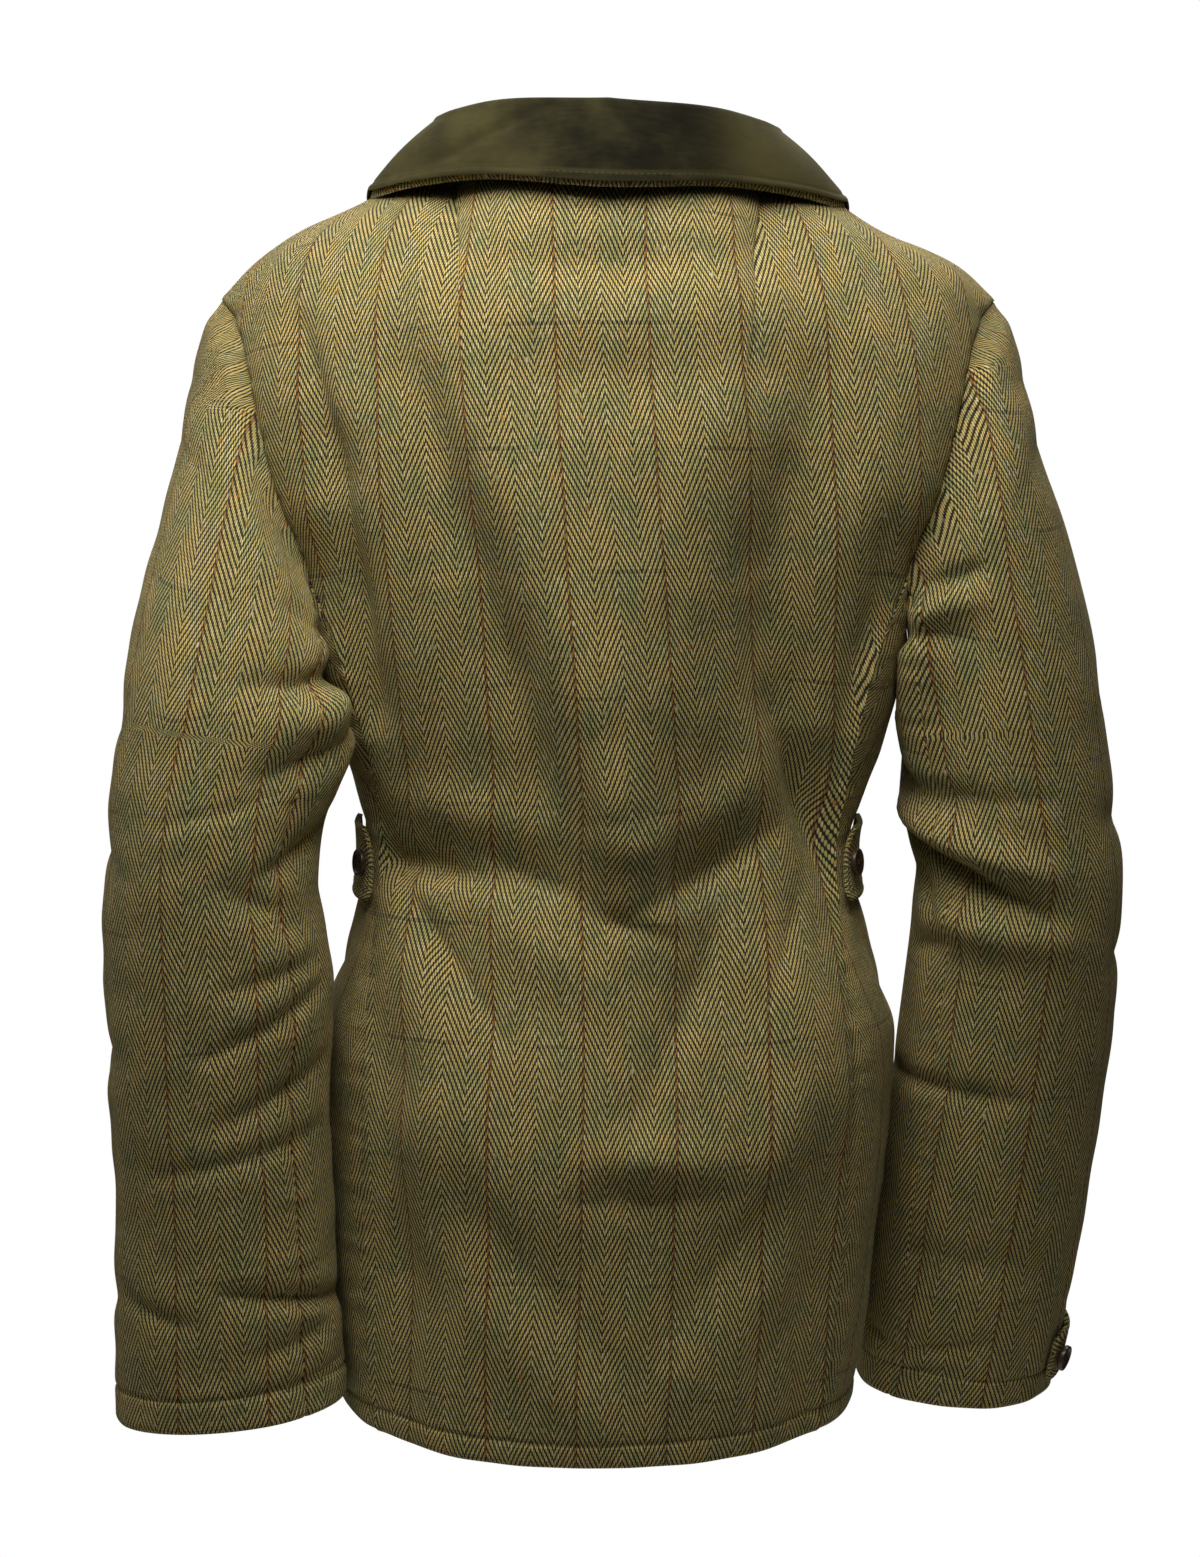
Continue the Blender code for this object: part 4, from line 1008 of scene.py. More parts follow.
def creased_back(u, v):
    point = soft_back(u, v)
    x, z = point[..., 0], point[..., 2]
    depth = add_creases(BACK_WAVES * waves(x, z, first_turn=0.4), x, z, BACK_CREASES)
    depth *= 1 - np.abs(u) ** SIDE_FADE
    depth *= np.clip((2 - v) / TOP_FADE, 0, 1)
    from_seam = (1 - np.abs(u)) * BACK_REACH
    depth += pucker(z, from_seam) + rolled_edge(from_seam)
    depth += armhole_valley(from_seam, v)
    depth += rolled_edge((2 - v) * UPPER_LENGTH)
    depth += hem_band(v * LOWER_LENGTH, HEM_LINE)
    return point - outward(soft_back, u, v, BACK_LIMITS, flip=True) * depth[..., None]


print("hem sewn", HEM_LINE * 1000, "mm from its edge")

# %% [markdown]
# ## Laying cloth
# A panel could be drawn as a flat pattern and sewn in a simulation. A grid laid straight on its surface
# is surer, because it keeps the place of the solid. The grid is finer beside seams, hems and grooves,
# where the cloth turns in a few millimetres. Lengths along the grid give the map for the weave, and
# Solidify gives the wall.

# %% Stops of a grid
STEP = 0.0029                   # a grid cell in the open
FINE = 0.0006                   # a grid cell beside an edge or a groove


def walk(length, marks, reach=0.02):
    """Stops from 0 to a length, close together near the marks; handed back as shares of the length."""
    stops = [0.0]
    while stops[-1] < length:
        near = min(abs(stops[-1] - mark) for mark in marks) if marks else reach
        stops.append(stops[-1] + FINE + (STEP - FINE) * min(1, near / reach))
    return np.array(stops) / stops[-1]


def joined(*runs):
    """Several runs of stops, each starting where the last one ended."""
    return np.concatenate([runs[0]] + [run[1:] for run in runs[1:]])


def lengths(surface, columns, rows, middle):
    """Metres on the cloth: across from the middle column, and up from the first row."""
    grid = surface(*np.meshgrid(columns, rows))
    across = np.zeros(grid.shape[:2])
    across[:, 1:] = np.cumsum(np.linalg.norm(np.diff(grid, axis=1), axis=-1), axis=1)
    nearest = np.argmin(np.abs(columns - middle))
    up = np.zeros(grid.shape[:2])
    up[1:] = np.cumsum(np.linalg.norm(np.diff(grid, axis=0), axis=-1), axis=0)
    return across - across[:, nearest:nearest + 1], up, grid


print("stops along a hem:", len(walk(LOWER_LENGTH, [0, HEM_LINE])))

# %% Turning, cutting and thickening a sheet
CLOTH_SMOOTH = math.radians(60)


def select_only(piece):
    bpy.ops.object.select_all(action="DESELECT")
    piece.select_set(True)
    bpy.context.view_layer.objects.active = piece


def turn_and_cut(mesh, flip, spare):
    """Turns all faces over if asked, and takes the spare ones out."""
    bpy.context.tool_settings.mesh_select_mode = (False, False, True)
    bpy.ops.object.mode_set(mode="EDIT")
    if flip:
        bpy.ops.mesh.select_all(action="SELECT")
        bpy.ops.mesh.flip_normals()
    bpy.ops.mesh.select_all(action="DESELECT")
    bpy.ops.object.mode_set(mode="OBJECT")
    mesh.polygons.foreach_set("select", spare)
    bpy.ops.object.mode_set(mode="EDIT")
    bpy.ops.mesh.delete(type="FACE")
    bpy.ops.object.mode_set(mode="OBJECT")


def thicken(piece, wall):
    """Gives a sheet its wall, on the inner side."""
    solid = piece.modifiers.new("wall", "SOLIDIFY")
    solid.thickness = wall
    solid.offset = -1
    bpy.ops.object.modifier_apply(modifier="wall")
    bpy.ops.object.shade_smooth_by_angle(angle=CLOTH_SMOOTH)


print("cloth smooth up to", round(math.degrees(CLOTH_SMOOTH)), "degrees")

# %% Laying one piece
def lay_cloth(name, surface, columns, rows, weave, wall, finish, flip, leave_out=None):
    """A fine grid on a surface, with a map for its weave and a wall on its inner side."""
    bpy.ops.object.select_all(action="DESELECT")
    bpy.ops.mesh.primitive_grid_add(x_subdivisions=len(columns) - 1, y_subdivisions=len(rows) - 1, size=2)
    piece = bpy.context.active_object
    piece.name = name
    mesh = piece.data
    mesh.name = name
    flat = np.empty(len(mesh.vertices) * 3)
    mesh.vertices.foreach_get("co", flat)
    share = (flat.reshape(-1, 3)[:, :2] + 1) / 2
    column = np.rint(share[:, 0] * (len(columns) - 1)).astype(int)
    row = np.rint(share[:, 1] * (len(rows) - 1)).astype(int)
    shape = surface(*np.meshgrid(columns, rows))
    mesh.vertices.foreach_set("co", shape[row, column].ravel())
    corner = np.empty(len(mesh.loops), dtype=int)
    mesh.loops.foreach_get("vertex_index", corner)
    layer = mesh.uv_layers[0]
    layer.name = "cloth"
    places = [part[row, column][corner] for part in weave]
    layer.data.foreach_set("uv", np.stack(places, axis=-1).ravel())
    mesh.materials.append(finish)
    spare = np.zeros(len(mesh.polygons), dtype=bool)
    if leave_out:
        corners = corner.reshape(-1, 4)
        spare = leave_out(columns[column[corners]].mean(axis=1), rows[row[corners]].mean(axis=1))
    turn_and_cut(mesh, flip, spare)
    thicken(piece, wall)
    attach(piece, "root")
    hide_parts(name.removesuffix("_cloth"))
    print(name, len(mesh.polygons) * 2, "triangles")
    return piece


# %% [markdown]
# ## Back
# One panel runs from the neck to the hem with no seam in its middle. Its grain does not hang quite
# straight: the rust lines drift to one side on the way down, so the map is shifted by height.

# %% Back
WALL = 0.0015
Grain = namedtuple("Grain", "height shift")
GRAIN = rows_of(
    Grain,
    (-0.690, 0.0175), (-0.530, 0.0169), (-0.400, 0.0158),
    (-0.260, 0.0128), (-0.150, 0.0060), (-0.030, 0.0), (0.030, 0.0),
)
BACK_RUST = 0.0285              # from the centre back to a rust line at the top
BACK_NAVY = 0.0370              # from the hem up to a navy line
NECK_STOPS = 34
SLANT = 1.3                     # the shoulder slopes, so it is longer than it is wide


def share_at(x):
    """The column of a panel's grid that meets the shoulder edge at x."""
    yoke_angle = float(seam_angle(YOKE))
    return math.asin((x / SHOULDER[-1].x) ** (1 / ROUND) * math.sin(yoke_angle)) / yoke_angle


neck_turns = np.linspace(0, math.pi / 2, NECK_STOPS)
neck_columns = np.array([share_at(NECK_HALF_WIDTH * math.sin(turn)) for turn in neck_turns])
beyond_neck = (1 - neck_columns[-1]) * BACK_REACH * SLANT
shoulder_columns = neck_columns[-1] + walk(beyond_neck, [beyond_neck]) * (1 - neck_columns[-1])
half = joined(neck_columns, shoulder_columns)
back_columns = joined(-half[::-1], half)
panel_top = 2 - SEAM / UPPER_LENGTH
panel_rows = joined(walk(LOWER_LENGTH, [0, HEM_LINE]),
                    1 + walk(UPPER_LENGTH, [UPPER_LENGTH]) * (panel_top - 1))
across, up, grid = lengths(soft_back, back_columns, panel_rows, 0)
shift = curve_through(GRAIN, grid[..., 2])[0]
up = up + grid[:1, :, 2] - HEM
back = lay_cloth("back_cloth", creased_back, back_columns, panel_rows,
                 (across + shift - BACK_RUST, up - BACK_NAVY), WALL, tweed, flip=True)
print("back is", round(float(np.ptp(across)), 3), "by", round(float(up.max()), 3))

# %% [markdown]
# ## Fronts
# Each front wraps round the side to the seam beside the back, so its side shows in the picture. The right
# one laps over the left. The faces inside the armhole are taken out of the grid. Their creases are like
# those of the back: drags under the arm and at the waist, and short pulls at the buttons.

# %% Creases of the fronts
# Each row has the share q across a front and the height at both ends.
FRONT_CREASES = rows_of(
    Crease,
    (1.00, -0.235, 0.55, -0.330, 0.018, 0.0045),
    (1.30, -0.300, 0.70, -0.360, 0.015, 0.0050),
    (1.60, -0.345, 1.00, -0.372, 0.013, 0.0050),
    (1.00, -0.372, 0.35, -0.362, 0.014, 0.0045),
    (1.70, -0.395, 1.10, -0.455, 0.015, 0.0042),
    (1.00, -0.395, 0.60, -0.470, 0.016, -0.0040),
    (0.08, -0.322, 0.45, -0.345, 0.012, 0.0030),
    (0.08, -0.424, 0.40, -0.405, 0.012, 0.0030),
    (0.08, -0.220, 0.45, -0.200, 0.014, 0.0026),
    (0.85, -0.150, 0.50, -0.260, 0.022, -0.0040),
    (0.75, -0.080, 0.90, -0.180, 0.016, 0.0040),
    (0.50, -0.560, 0.85, -0.640, 0.020, 0.0036),
    (1.10, -0.540, 0.95, -0.650, 0.020, -0.0036),
    (1.55, -0.500, 1.45, -0.640, 0.016, 0.0030),
)
print("front creases:", len(FRONT_CREASES))

# %% The creased fronts
FRONT_REACH = 0.155             # turns a share across a front into a length
SIDE_REACH = 0.06               # the same for the part beside the armhole
RIGHT_LOWER = 0.012             # the right front creases a little lower than the left
FRONT_WAVES = 0.0006
SEAM_FADE = 0.02                # creases die out this near the side seam,
UNDERARM_FADE = 0.03            # this near the armhole
MIDDLE_FADE = 0.045             # and this near the buttons


def creased_front(plain, lower):
    """A front with its creases, which lie lower by the given length."""
    def surface(q, v):
        point = plain(q, v)
        x = q * FRONT_REACH
        z = point[..., 2]
        depth = FRONT_WAVES * waves(x, z, first_turn=1.1 + 40 * lower)
        depth = add_creases(depth, x, z, FRONT_CREASES, FRONT_REACH, lower=lower)
        from_seam = (2 - q) * SIDE_REACH
        fade = np.clip(from_seam / SEAM_FADE, 0, 1) * np.clip((2 - v) / TOP_FADE, 0, 1)
        under = np.where(q > 1, np.clip((1 - v) * LOWER_LENGTH / UNDERARM_FADE, 0, 1), 1)
        middle = np.clip(np.abs(point[..., 0]) / MIDDLE_FADE, 0, 1)
        depth *= fade * under * middle * middle
        depth += pucker(z, from_seam) + rolled_edge(from_seam, depth=0.0018, reach=0.008)
        depth += rolled_edge(np.where(q > 1, (1 - v) * LOWER_LENGTH, (2 - v) * UPPER_LENGTH))
        depth += armhole_valley(np.maximum(1 - q, 0) * FRONT_REACH * SLANT, np.where(q > 1, 0, v))
        depth += hem_band(v * LOWER_LENGTH, HEM_LINE)
        return point - front_outward(plain, q, v) * depth[..., None]

    return surface


print("right front creased", RIGHT_LOWER * 1000, "mm lower")

# %% Fronts
FRONT_RUST = 0.018              # from the centre line to a rust line
SIDE_LENGTH = SIDE_REACH * 1.5
lap_column = share_at(LAP * SHOULDER[-1].x / SECTIONS[-1].half_width)
shoulder_span = (1 - neck_columns[-1]) * FRONT_REACH * SLANT
front_columns = joined(
    -lap_column * walk(LAP, [LAP])[::-1], neck_columns,
    neck_columns[-1] + walk(shoulder_span, [shoulder_span]) * (1 - neck_columns[-1]),
    1 + walk(SIDE_LENGTH, [0, SIDE_LENGTH]))


def in_armhole(q, v):
    return (q > 1) & (v > 1)


front_left_plain = front_surface(1)
for name, plain, lower in (("front_left_cloth", front_left_plain, 0.0),
                           ("front_right_cloth", lapped_front, RIGHT_LOWER)):
    across, up, grid = lengths(plain, front_columns, panel_rows, 0)
    up = up + grid[:1, :, 2] - HEM
    surface = creased_front(plain, lower)
    turned = name == "front_right_cloth"
    if turned:
        surface = mirrored(surface)
        across = -across
    piece = lay_cloth(name, surface, front_columns, panel_rows, (across - FRONT_RUST, up - BACK_NAVY),
                      WALL, tweed, turned, in_armhole)
    print(name, "is", round(float(np.ptp(across)), 3), "by", round(float(up.max()), 3))

# %% [markdown]
# ## Sleeves
# Each sleeve has two pieces, a wide top sleeve and a narrow under sleeve, sewn along the back of the arm
# and along the inside. The arms hang a little bent, so short creases gather at the elbow and the wrist.
# The crease tables give an angle round the sleeve and a height.

# %% Creases of the left sleeve
# Each row has degrees round the sleeve and the height at both ends.
LEFT_SLEEVE_CREASES = rows_of(
    Crease,
    (-30, -0.100, 55, -0.104, 0.014, 0.0050),
    (146, -0.200, 156, -0.280, 0.020, -0.0130),
    (88, -0.156, 131, -0.204, 0.010, 0.0065),
    (118, -0.220, 156, -0.240, 0.008, 0.0065),
    (106, -0.254, 178, -0.256, 0.011, 0.0130),
    (118, -0.272, 165, -0.270, 0.010, -0.0040),
    (124, -0.300, 172, -0.284, 0.010, 0.0110),
    (70, -0.326, 123, -0.313, 0.005, 0.0035),
    (134, -0.350, 170, -0.336, 0.010, 0.0100),
    (108, -0.364, 132, -0.376, 0.010, 0.0060),
    (105, -0.414, 150, -0.404, 0.007, 0.0065),
    (92, -0.449, 153, -0.420, 0.006, 0.0075),
    (100, -0.486, 156, -0.462, 0.009, 0.0080),
    (65, -0.517, 150, -0.497, 0.007, 0.0055),
    (100, -0.584, 178, -0.595, 0.006, 0.0090),
    (38, -0.592, 70, -0.600, 0.006, 0.0055),
    (115, -0.617, 150, -0.609, 0.006, 0.0050),
    (105, -0.640, 165, -0.630, 0.005, 0.0035),
    (-60, -0.430, 10, -0.455, 0.012, 0.0070),
    (-80, -0.480, -10, -0.470, 0.011, 0.0065),
    (-40, -0.330, 20, -0.350, 0.012, 0.0060),
    (-70, -0.600, 0, -0.596, 0.010, 0.0060),
    (-60, -0.240, 0, -0.275, 0.014, 0.0060),
)
print("left sleeve's creases:", len(LEFT_SLEEVE_CREASES))

# %% Creases of the right sleeve
RIGHT_SLEEVE_CREASES = rows_of(
    Crease,
    (-30, -0.100, 60, -0.104, 0.015, 0.0060),
    (135, -0.142, 88, -0.136, 0.009, 0.0100),
    (150, -0.214, 100, -0.201, 0.008, 0.0120),
    (140, -0.222, 105, -0.216, 0.008, -0.0050),
    (160, -0.236, 115, -0.236, 0.008, 0.0070),
    (140, -0.190, 148, -0.300, 0.020, -0.0160),
    (178, -0.312, 158, -0.318, 0.010, 0.0100),
    (165, -0.326, 85, -0.326, 0.010, 0.0060),
    (165, -0.336, 88, -0.364, 0.011, -0.0125),
    (172, -0.351, 82, -0.388, 0.007, 0.0110),
    (148, -0.392, 84, -0.404, 0.013, -0.0115),
    (165, -0.374, 145, -0.394, 0.007, 0.0070),
    (160, -0.412, 140, -0.410, 0.006, 0.0050),
    (172, -0.487, 90, -0.496, 0.007, 0.0065),
    (125, -0.592, 60, -0.598, 0.014, 0.0045),
    (165, -0.640, 140, -0.650, 0.006, 0.0055),
    (130, -0.650, 85, -0.645, 0.006, 0.0055),
    (150, -0.664, 95, -0.662, 0.005, 0.0035),
    (-60, -0.400, 15, -0.420, 0.012, 0.0070),
    (-85, -0.440, -15, -0.450, 0.011, 0.0065),
    (-50, -0.350, 20, -0.340, 0.012, 0.0060),
    (-70, -0.610, 0, -0.625, 0.010, 0.0060),
    (-60, -0.230, 0, -0.265, 0.014, 0.0060),
)
print("right sleeve's creases:", len(RIGHT_SLEEVE_CREASES))

# %% The creased sleeves
SLEEVE_LIMITS = (-2 * math.pi, 2 * math.pi, 0, 2)
SLEEVE_WAVES = 0.0006
SLEEVE_DEGREE = math.radians(1) * SLEEVE_RADIUS
CUFF_LINE = 0.0190              # from the cuff's edge up to its sewing
FOREARM_FADE = 0.5              # creases die out this near the inner seam, as an angle
CAP_FADE = 1 / 3
CAP_LENGTH = 0.20               # from the armhole to the upper arm
SEAM_PULL = 0.010               # how far into the sleeve the panels' own creases reach
GATHER = 0.0009
GATHER_PLACE = 0.012            # from the armhole's seam to the top of the gathers
GATHER_WIDTH = 0.007


def sleeve_head(distance, angle):
    """A sleeve is eased into its armhole, so small gathers stand up beside the seam."""
    gathers = 1 + 0.5 * np.sin(13 * angle) + 0.4 * np.sin(29 * angle + 1)
    upper = 0.5 + 0.5 * np.cos(angle - 0.7)
    return GATHER * upper * gathers * np.exp(-((distance - GATHER_PLACE) / GATHER_WIDTH) ** 2)


def turned_back(u, v):
    """The creased back seen from the other side, for the right sleeve."""
    return creased_back(-u, v) * np.array([-1, 1, 1])


def creased_sleeve(plain, creases, arm, first_turn, back, front):
    """A sleeve with its creases, whose head follows the creased panels that it is sewn to."""
    arm_length = arm[0].height - arm[-1].height

    def surface(angle, s):
        point = plain(angle, s)
        x = angle * SLEEVE_RADIUS
        z = point[..., 2]
        depth = add_creases(SLEEVE_WAVES * waves(x, z, first_turn), x, z, creases, SLEEVE_DEGREE)
        forearm = np.minimum(np.abs(angle - FOREARM_SEAM), np.abs(angle - FOREARM_SEAM + 2 * math.pi))
        seam = np.minimum(np.abs(angle - HINDARM_SEAM), forearm)
        depth *= np.clip(forearm / FOREARM_FADE, 0, 1)
        depth *= np.clip(s / CAP_FADE, 0, 1)
        depth += pucker(z, seam * SLEEVE_RADIUS) + rolled_edge(seam * SLEEVE_RADIUS)
        depth -= sleeve_head(s * CAP_LENGTH, angle)
        depth += hem_band((2 - s) * arm_length, CUFF_LINE)
        pulled = armhole(angle[:1], back, front) - armhole(angle[:1])
        pulled = pulled * np.exp(-(s * CAP_LENGTH / SEAM_PULL) ** 2)[..., None]
        return point + pulled - outward(plain, angle, s, SLEEVE_LIMITS, flip=True) * depth[..., None]

    return surface


print("cuffs sewn", CUFF_LINE * 1000, "mm from their edge")

# %% The map of a sleeve's weave
def between_seams(first, last):
    """Columns of a sleeve piece from seam to seam, closer together beside both."""
    first = first + SLEEVE_SEAM / SLEEVE_RADIUS
    last = last - SLEEVE_SEAM / SLEEVE_RADIUS
    span = (last - first) * SLEEVE_RADIUS
    return first + walk(span, [0, span]) * (last - first)


LEVELS = 80                     # level cuts through the sleeve's head
SAMPLE_ROWS = 20                # rows of the arm that say which way the check climbs
FACE_TURN = 0.4                 # angles between which rows change from lengths to level cuts
BACK_TURN = 1.1


def along_the_grain(grid, across, up, columns, ring, middle):
    """Above the upper arm the threads keep level, and the check goes straight on up the arm."""
    height = grid[:ring + 1, :, 2] - grid[ring, 0, 2]
    climb = np.maximum.accumulate(height[::-1], axis=0)
    levels = np.linspace(0, height.max(), LEVELS)
    cut = np.empty((LEVELS, len(columns), 3))
    for column in range(len(columns)):
        for k in range(3):
            cut[:, column, k] = np.interp(levels, climb[:, column], grid[ring::-1, column, k])
    arc = np.zeros(cut.shape[:2])
    arc[:, 1:] = np.cumsum(np.linalg.norm(np.diff(cut, axis=1), axis=-1), axis=1)
    outer = np.argmin(np.abs(columns))
    nearest = np.argmin(np.abs(columns - middle))
    x, _, drop = grid[ring, nearest] - grid[ring + SAMPLE_ROWS, nearest]
    for level, height_here in enumerate(levels):
        inwards = np.maximum.accumulate(-cut[level, outer:, 0])
        line = grid[ring, nearest, 0] + x / drop * height_here
        arc[level] -= np.interp(-line, inwards, arc[level, outer:])
    turned = np.clip((np.abs(columns) - FACE_TURN) / (BACK_TURN - FACE_TURN), 0, 1)
    up[:ring + 1] = up[:ring + 1] * (1 - turned) + (up[ring] + height) * turned
    for column in range(len(columns)):
        across[:ring + 1, column] = np.interp(height[:, column], levels, arc[:, column])


print("level cuts in a sleeve's head:", LEVELS)

# %% Sleeves
Sleeve = namedtuple("Sleeve", "side arm leave tilt mirror creases rust navy")
SLEEVES = rows_of(
    Sleeve,
    ("left", LEFT_ARM, LEFT_LEAVE, LEFT_CUFF_TILT, 1, LEFT_SLEEVE_CREASES, math.radians(67), 0.0215),
    ("right", RIGHT_ARM, RIGHT_LEAVE, RIGHT_CUFF_TILT, -1, RIGHT_SLEEVE_CREASES, math.radians(77), 0.0037),
)
SleevePart = namedtuple("SleevePart", "name first last area")
SLEEVE_PARTS = rows_of(
    SleevePart,
    ("top", FOREARM_SEAM - 2 * math.pi, HINDARM_SEAM, 0.142),
    ("under", HINDARM_SEAM, FOREARM_SEAM, 0.052),
)
plain_sleeves = {}
for sleeve in SLEEVES:
    plain = sleeve_surface(sleeve.arm, sleeve.leave, sleeve.tilt, sleeve.mirror)
    plain_sleeves[sleeve.side] = plain
    if sleeve.side == "left":
        panels = creased_back, creased_front(front_left_plain, 0.0)
    else:
        panels = turned_back, creased_front(lapped_front, RIGHT_LOWER)
    surface = creased_sleeve(plain, sleeve.creases, sleeve.arm, 0.9 + sleeve.mirror, *panels)
    if sleeve.side == "right":
        surface = mirrored(surface)
    arm_length = sleeve.arm[0].height - sleeve.arm[-1].height
    cap_rows = walk(CAP_LENGTH, [0])
    rows = joined(cap_rows, 1 + walk(arm_length, [arm_length, arm_length - CUFF_LINE]))
    for part in SLEEVE_PARTS:
        top = part.name == "top"
        columns = between_seams(part.first, part.last)
        across, up, grid = lengths(plain, columns, rows, sleeve.rust if top else part.first)
        up = up[-1:] - up
        if top:
            along_the_grain(grid, across, up, columns, len(cap_rows) - 1, sleeve.rust)
        across = across * sleeve.mirror
        name = part.name + "_sleeve_" + sleeve.side + "_cloth"
        piece = lay_cloth(name, surface, columns, rows, (across, up - sleeve.navy), WALL, tweed,
                          sleeve.side == "left")
        wide, long = float(np.ptp(across)), float(np.ptp(up))
        print(name, "is", round(wide, 3), "by", round(long, 3))

# %% [markdown]
# ## Collar
# The collar is two layers sewn together at the edge and turned over at its fold: moleskin outside, tweed
# underneath, with the tweed about two millimetres longer so that it shows as a thin line. The section
# through the collar is a stand, a half turn and a leaf, and it changes round the neck. Both layers share
# their creases, or one would come through the other.

# %% Sizes of the collar
COLLAR_WALL = 0.0012
COLLAR_LAYER = COLLAR_WALL + 0.0006
COLLAR_END = math.radians(170)
FOLD_RADIUS = 0.0055
FOLD_END = 0.12 * math.pi
LEAF_BULGE = 0.002
COLLAR_UNEVEN = 0.003
NECK_TUCK = 0.004               # how far the stand is turned in below the neck seam
UNDER_COLLAR_SHOWS = 0.0022     # how much longer the under collar's leaf is
Collar = namedtuple("Collar", "degrees base fold_out fold_up leaf_out leaf_up")
COLLAR = rows_of(
    Collar,
    (0, 0.0022, -0.004, 0.040, 0.020, -0.003),
    (45, 0.0022, -0.001, 0.036, 0.018, -0.003),
    (70, 0.0028, 0.003, 0.0290, 0.030, -0.009),
    (90, 0.0035, 0.007, 0.0240, 0.048, -0.016),
    (112, 0.0065, 0.008, 0.024, 0.049, -0.010),
    (135, 0.0045, 0.008, 0.024, 0.046, -0.022),
    (152, 0.0033, 0.007, 0.024, 0.043, -0.037),
    (170, 0.0022, 0.005, 0.024, 0.040, -0.053),
)
print("collar reaches", round(math.degrees(COLLAR_END)), "degrees to each side")

# %% Points on the collar
def collar_surface(past_end):
    """Angle from the nape, and w from the neck seam (0) over the fold (1 to 2) to the leaf's edge (3)."""
    def surface(angle, w):
        base, fold_out, fold_up, leaf_out, leaf_up = curve_through(COLLAR, np.degrees(np.abs(angle)))
        uneven = COLLAR_UNEVEN * np.sin(angle)
        fold_up = fold_up + uneven
        leaf_up = leaf_up + uneven
        stand = np.clip(w, 0, 1)
        turn = math.pi - (math.pi - FOLD_END) * np.clip(w - 1, 0, 1)
        leaf = np.clip(w - 2, 0, 1)
        slant = np.hypot(leaf_out - fold_out, leaf_up - fold_up)
        out_way = (leaf_out - fold_out) / slant
        up_way = (leaf_up - fold_up) / slant
        turn_out = fold_out + FOLD_RADIUS * np.cos(turn)
        turn_up = fold_up - FOLD_RADIUS + FOLD_RADIUS * np.sin(turn)
        from_out = fold_out + FOLD_RADIUS * math.cos(FOLD_END)
        from_up = fold_up - FOLD_RADIUS + FOLD_RADIUS * math.sin(FOLD_END)
        bulge = LEAF_BULGE * 4 * leaf * (1 - leaf)
        leaf_at_out = from_out + leaf * (leaf_out + past_end * out_way - from_out) - bulge * up_way
        leaf_at_up = from_up + leaf * (leaf_up + past_end * up_way - from_up) + bulge * out_way
        stand_out = stand * (fold_out - FOLD_RADIUS)
        stand_up = stand * (fold_up - FOLD_RADIUS) - NECK_TUCK * (1 - stand)
        out = np.where(w <= 1, stand_out, np.where(w <= 2, turn_out, leaf_at_out))
        up = np.where(w <= 1, stand_up, np.where(w <= 2, turn_up, leaf_at_up))
        behind = np.cos(angle) > 0
        reach = np.where(behind, NECK_BACK, NECK_FRONT)
        drop = np.where(behind, NECK_BACK_DROP, -NECK_FRONT_DROP)
        x = (NECK_HALF_WIDTH + out) * np.sin(angle)
        y = NECK_Y + (reach + out) * np.cos(angle)
        z = NECK_TOP - drop * np.cos(angle) + base + up
        return points(x, y, z)

    return surface


COLLAR_LIMITS = (-COLLAR_END, COLLAR_END, 0, 3)


def under_collar_surface(angle, w):
    longer = collar_surface(UNDER_COLLAR_SHOWS)
    return longer(angle, w) - outward(longer, angle, w, COLLAR_LIMITS) * COLLAR_LAYER


print("collar's edge behind:", collar_surface(0)(np.zeros(1), np.full(1, 3.0)).round(3).tolist())

# %% Creases of the collar
# Each row has degrees from the nape and w at both ends.
COLLAR_CREASES = rows_of(
    Crease,
    (54, 2.65, 24, 2.05, 0.008, 0.0036),
    (70, 2.80, 40, 2.70, 0.010, 0.0016),
    (-20, 2.25, -46, 2.65, 0.012, 0.0008),
    (8, 2.10, 2, 2.80, 0.014, 0.0006),
    (110, 2.30, 128, 2.85, 0.012, 0.0014),
    (-112, 2.30, -130, 2.80, 0.012, 0.0014),
)
COLLAR_GIRTH = 0.10             # turns an angle round the collar into a length
LEAF_LENGTH = 0.055
COLLAR_LINE = 0.005             # from the leaf's edge to its sewing
COLLAR_WAVES = 0.00025
COLLAR_GROOVE = 0.00045
COLLAR_GROOVE_WIDTH = 0.0013
COLLAR_RAISE = 0.0003
LEAF_START = 1.6                # w past which the leaf is creased and sewn
collar_plain = collar_surface(0)


def collar_edge(angle, w):
    """The distance from the collar's nearest sewn edge."""
    return np.minimum((3 - w) * LEAF_LENGTH, (COLLAR_END - np.abs(angle)) * COLLAR_GIRTH)


def collar_dents(angle, w):
    """The creases that both layers of the collar share."""
    x = angle * COLLAR_GIRTH
    y = w * LEAF_LENGTH
    depth = COLLAR_WAVES * waves(x, y, first_turn=2.2) * np.clip(w - 1.5, 0, 1)
    depth = add_creases(depth, x, y, COLLAR_CREASES, math.radians(1) * COLLAR_GIRTH, LEAF_LENGTH)
    return depth * np.clip((3 - w) / 0.3, 0, 1) * np.clip((w - LEAF_START) / 0.4, 0, 1)


print("collar creases:", len(COLLAR_CREASES))

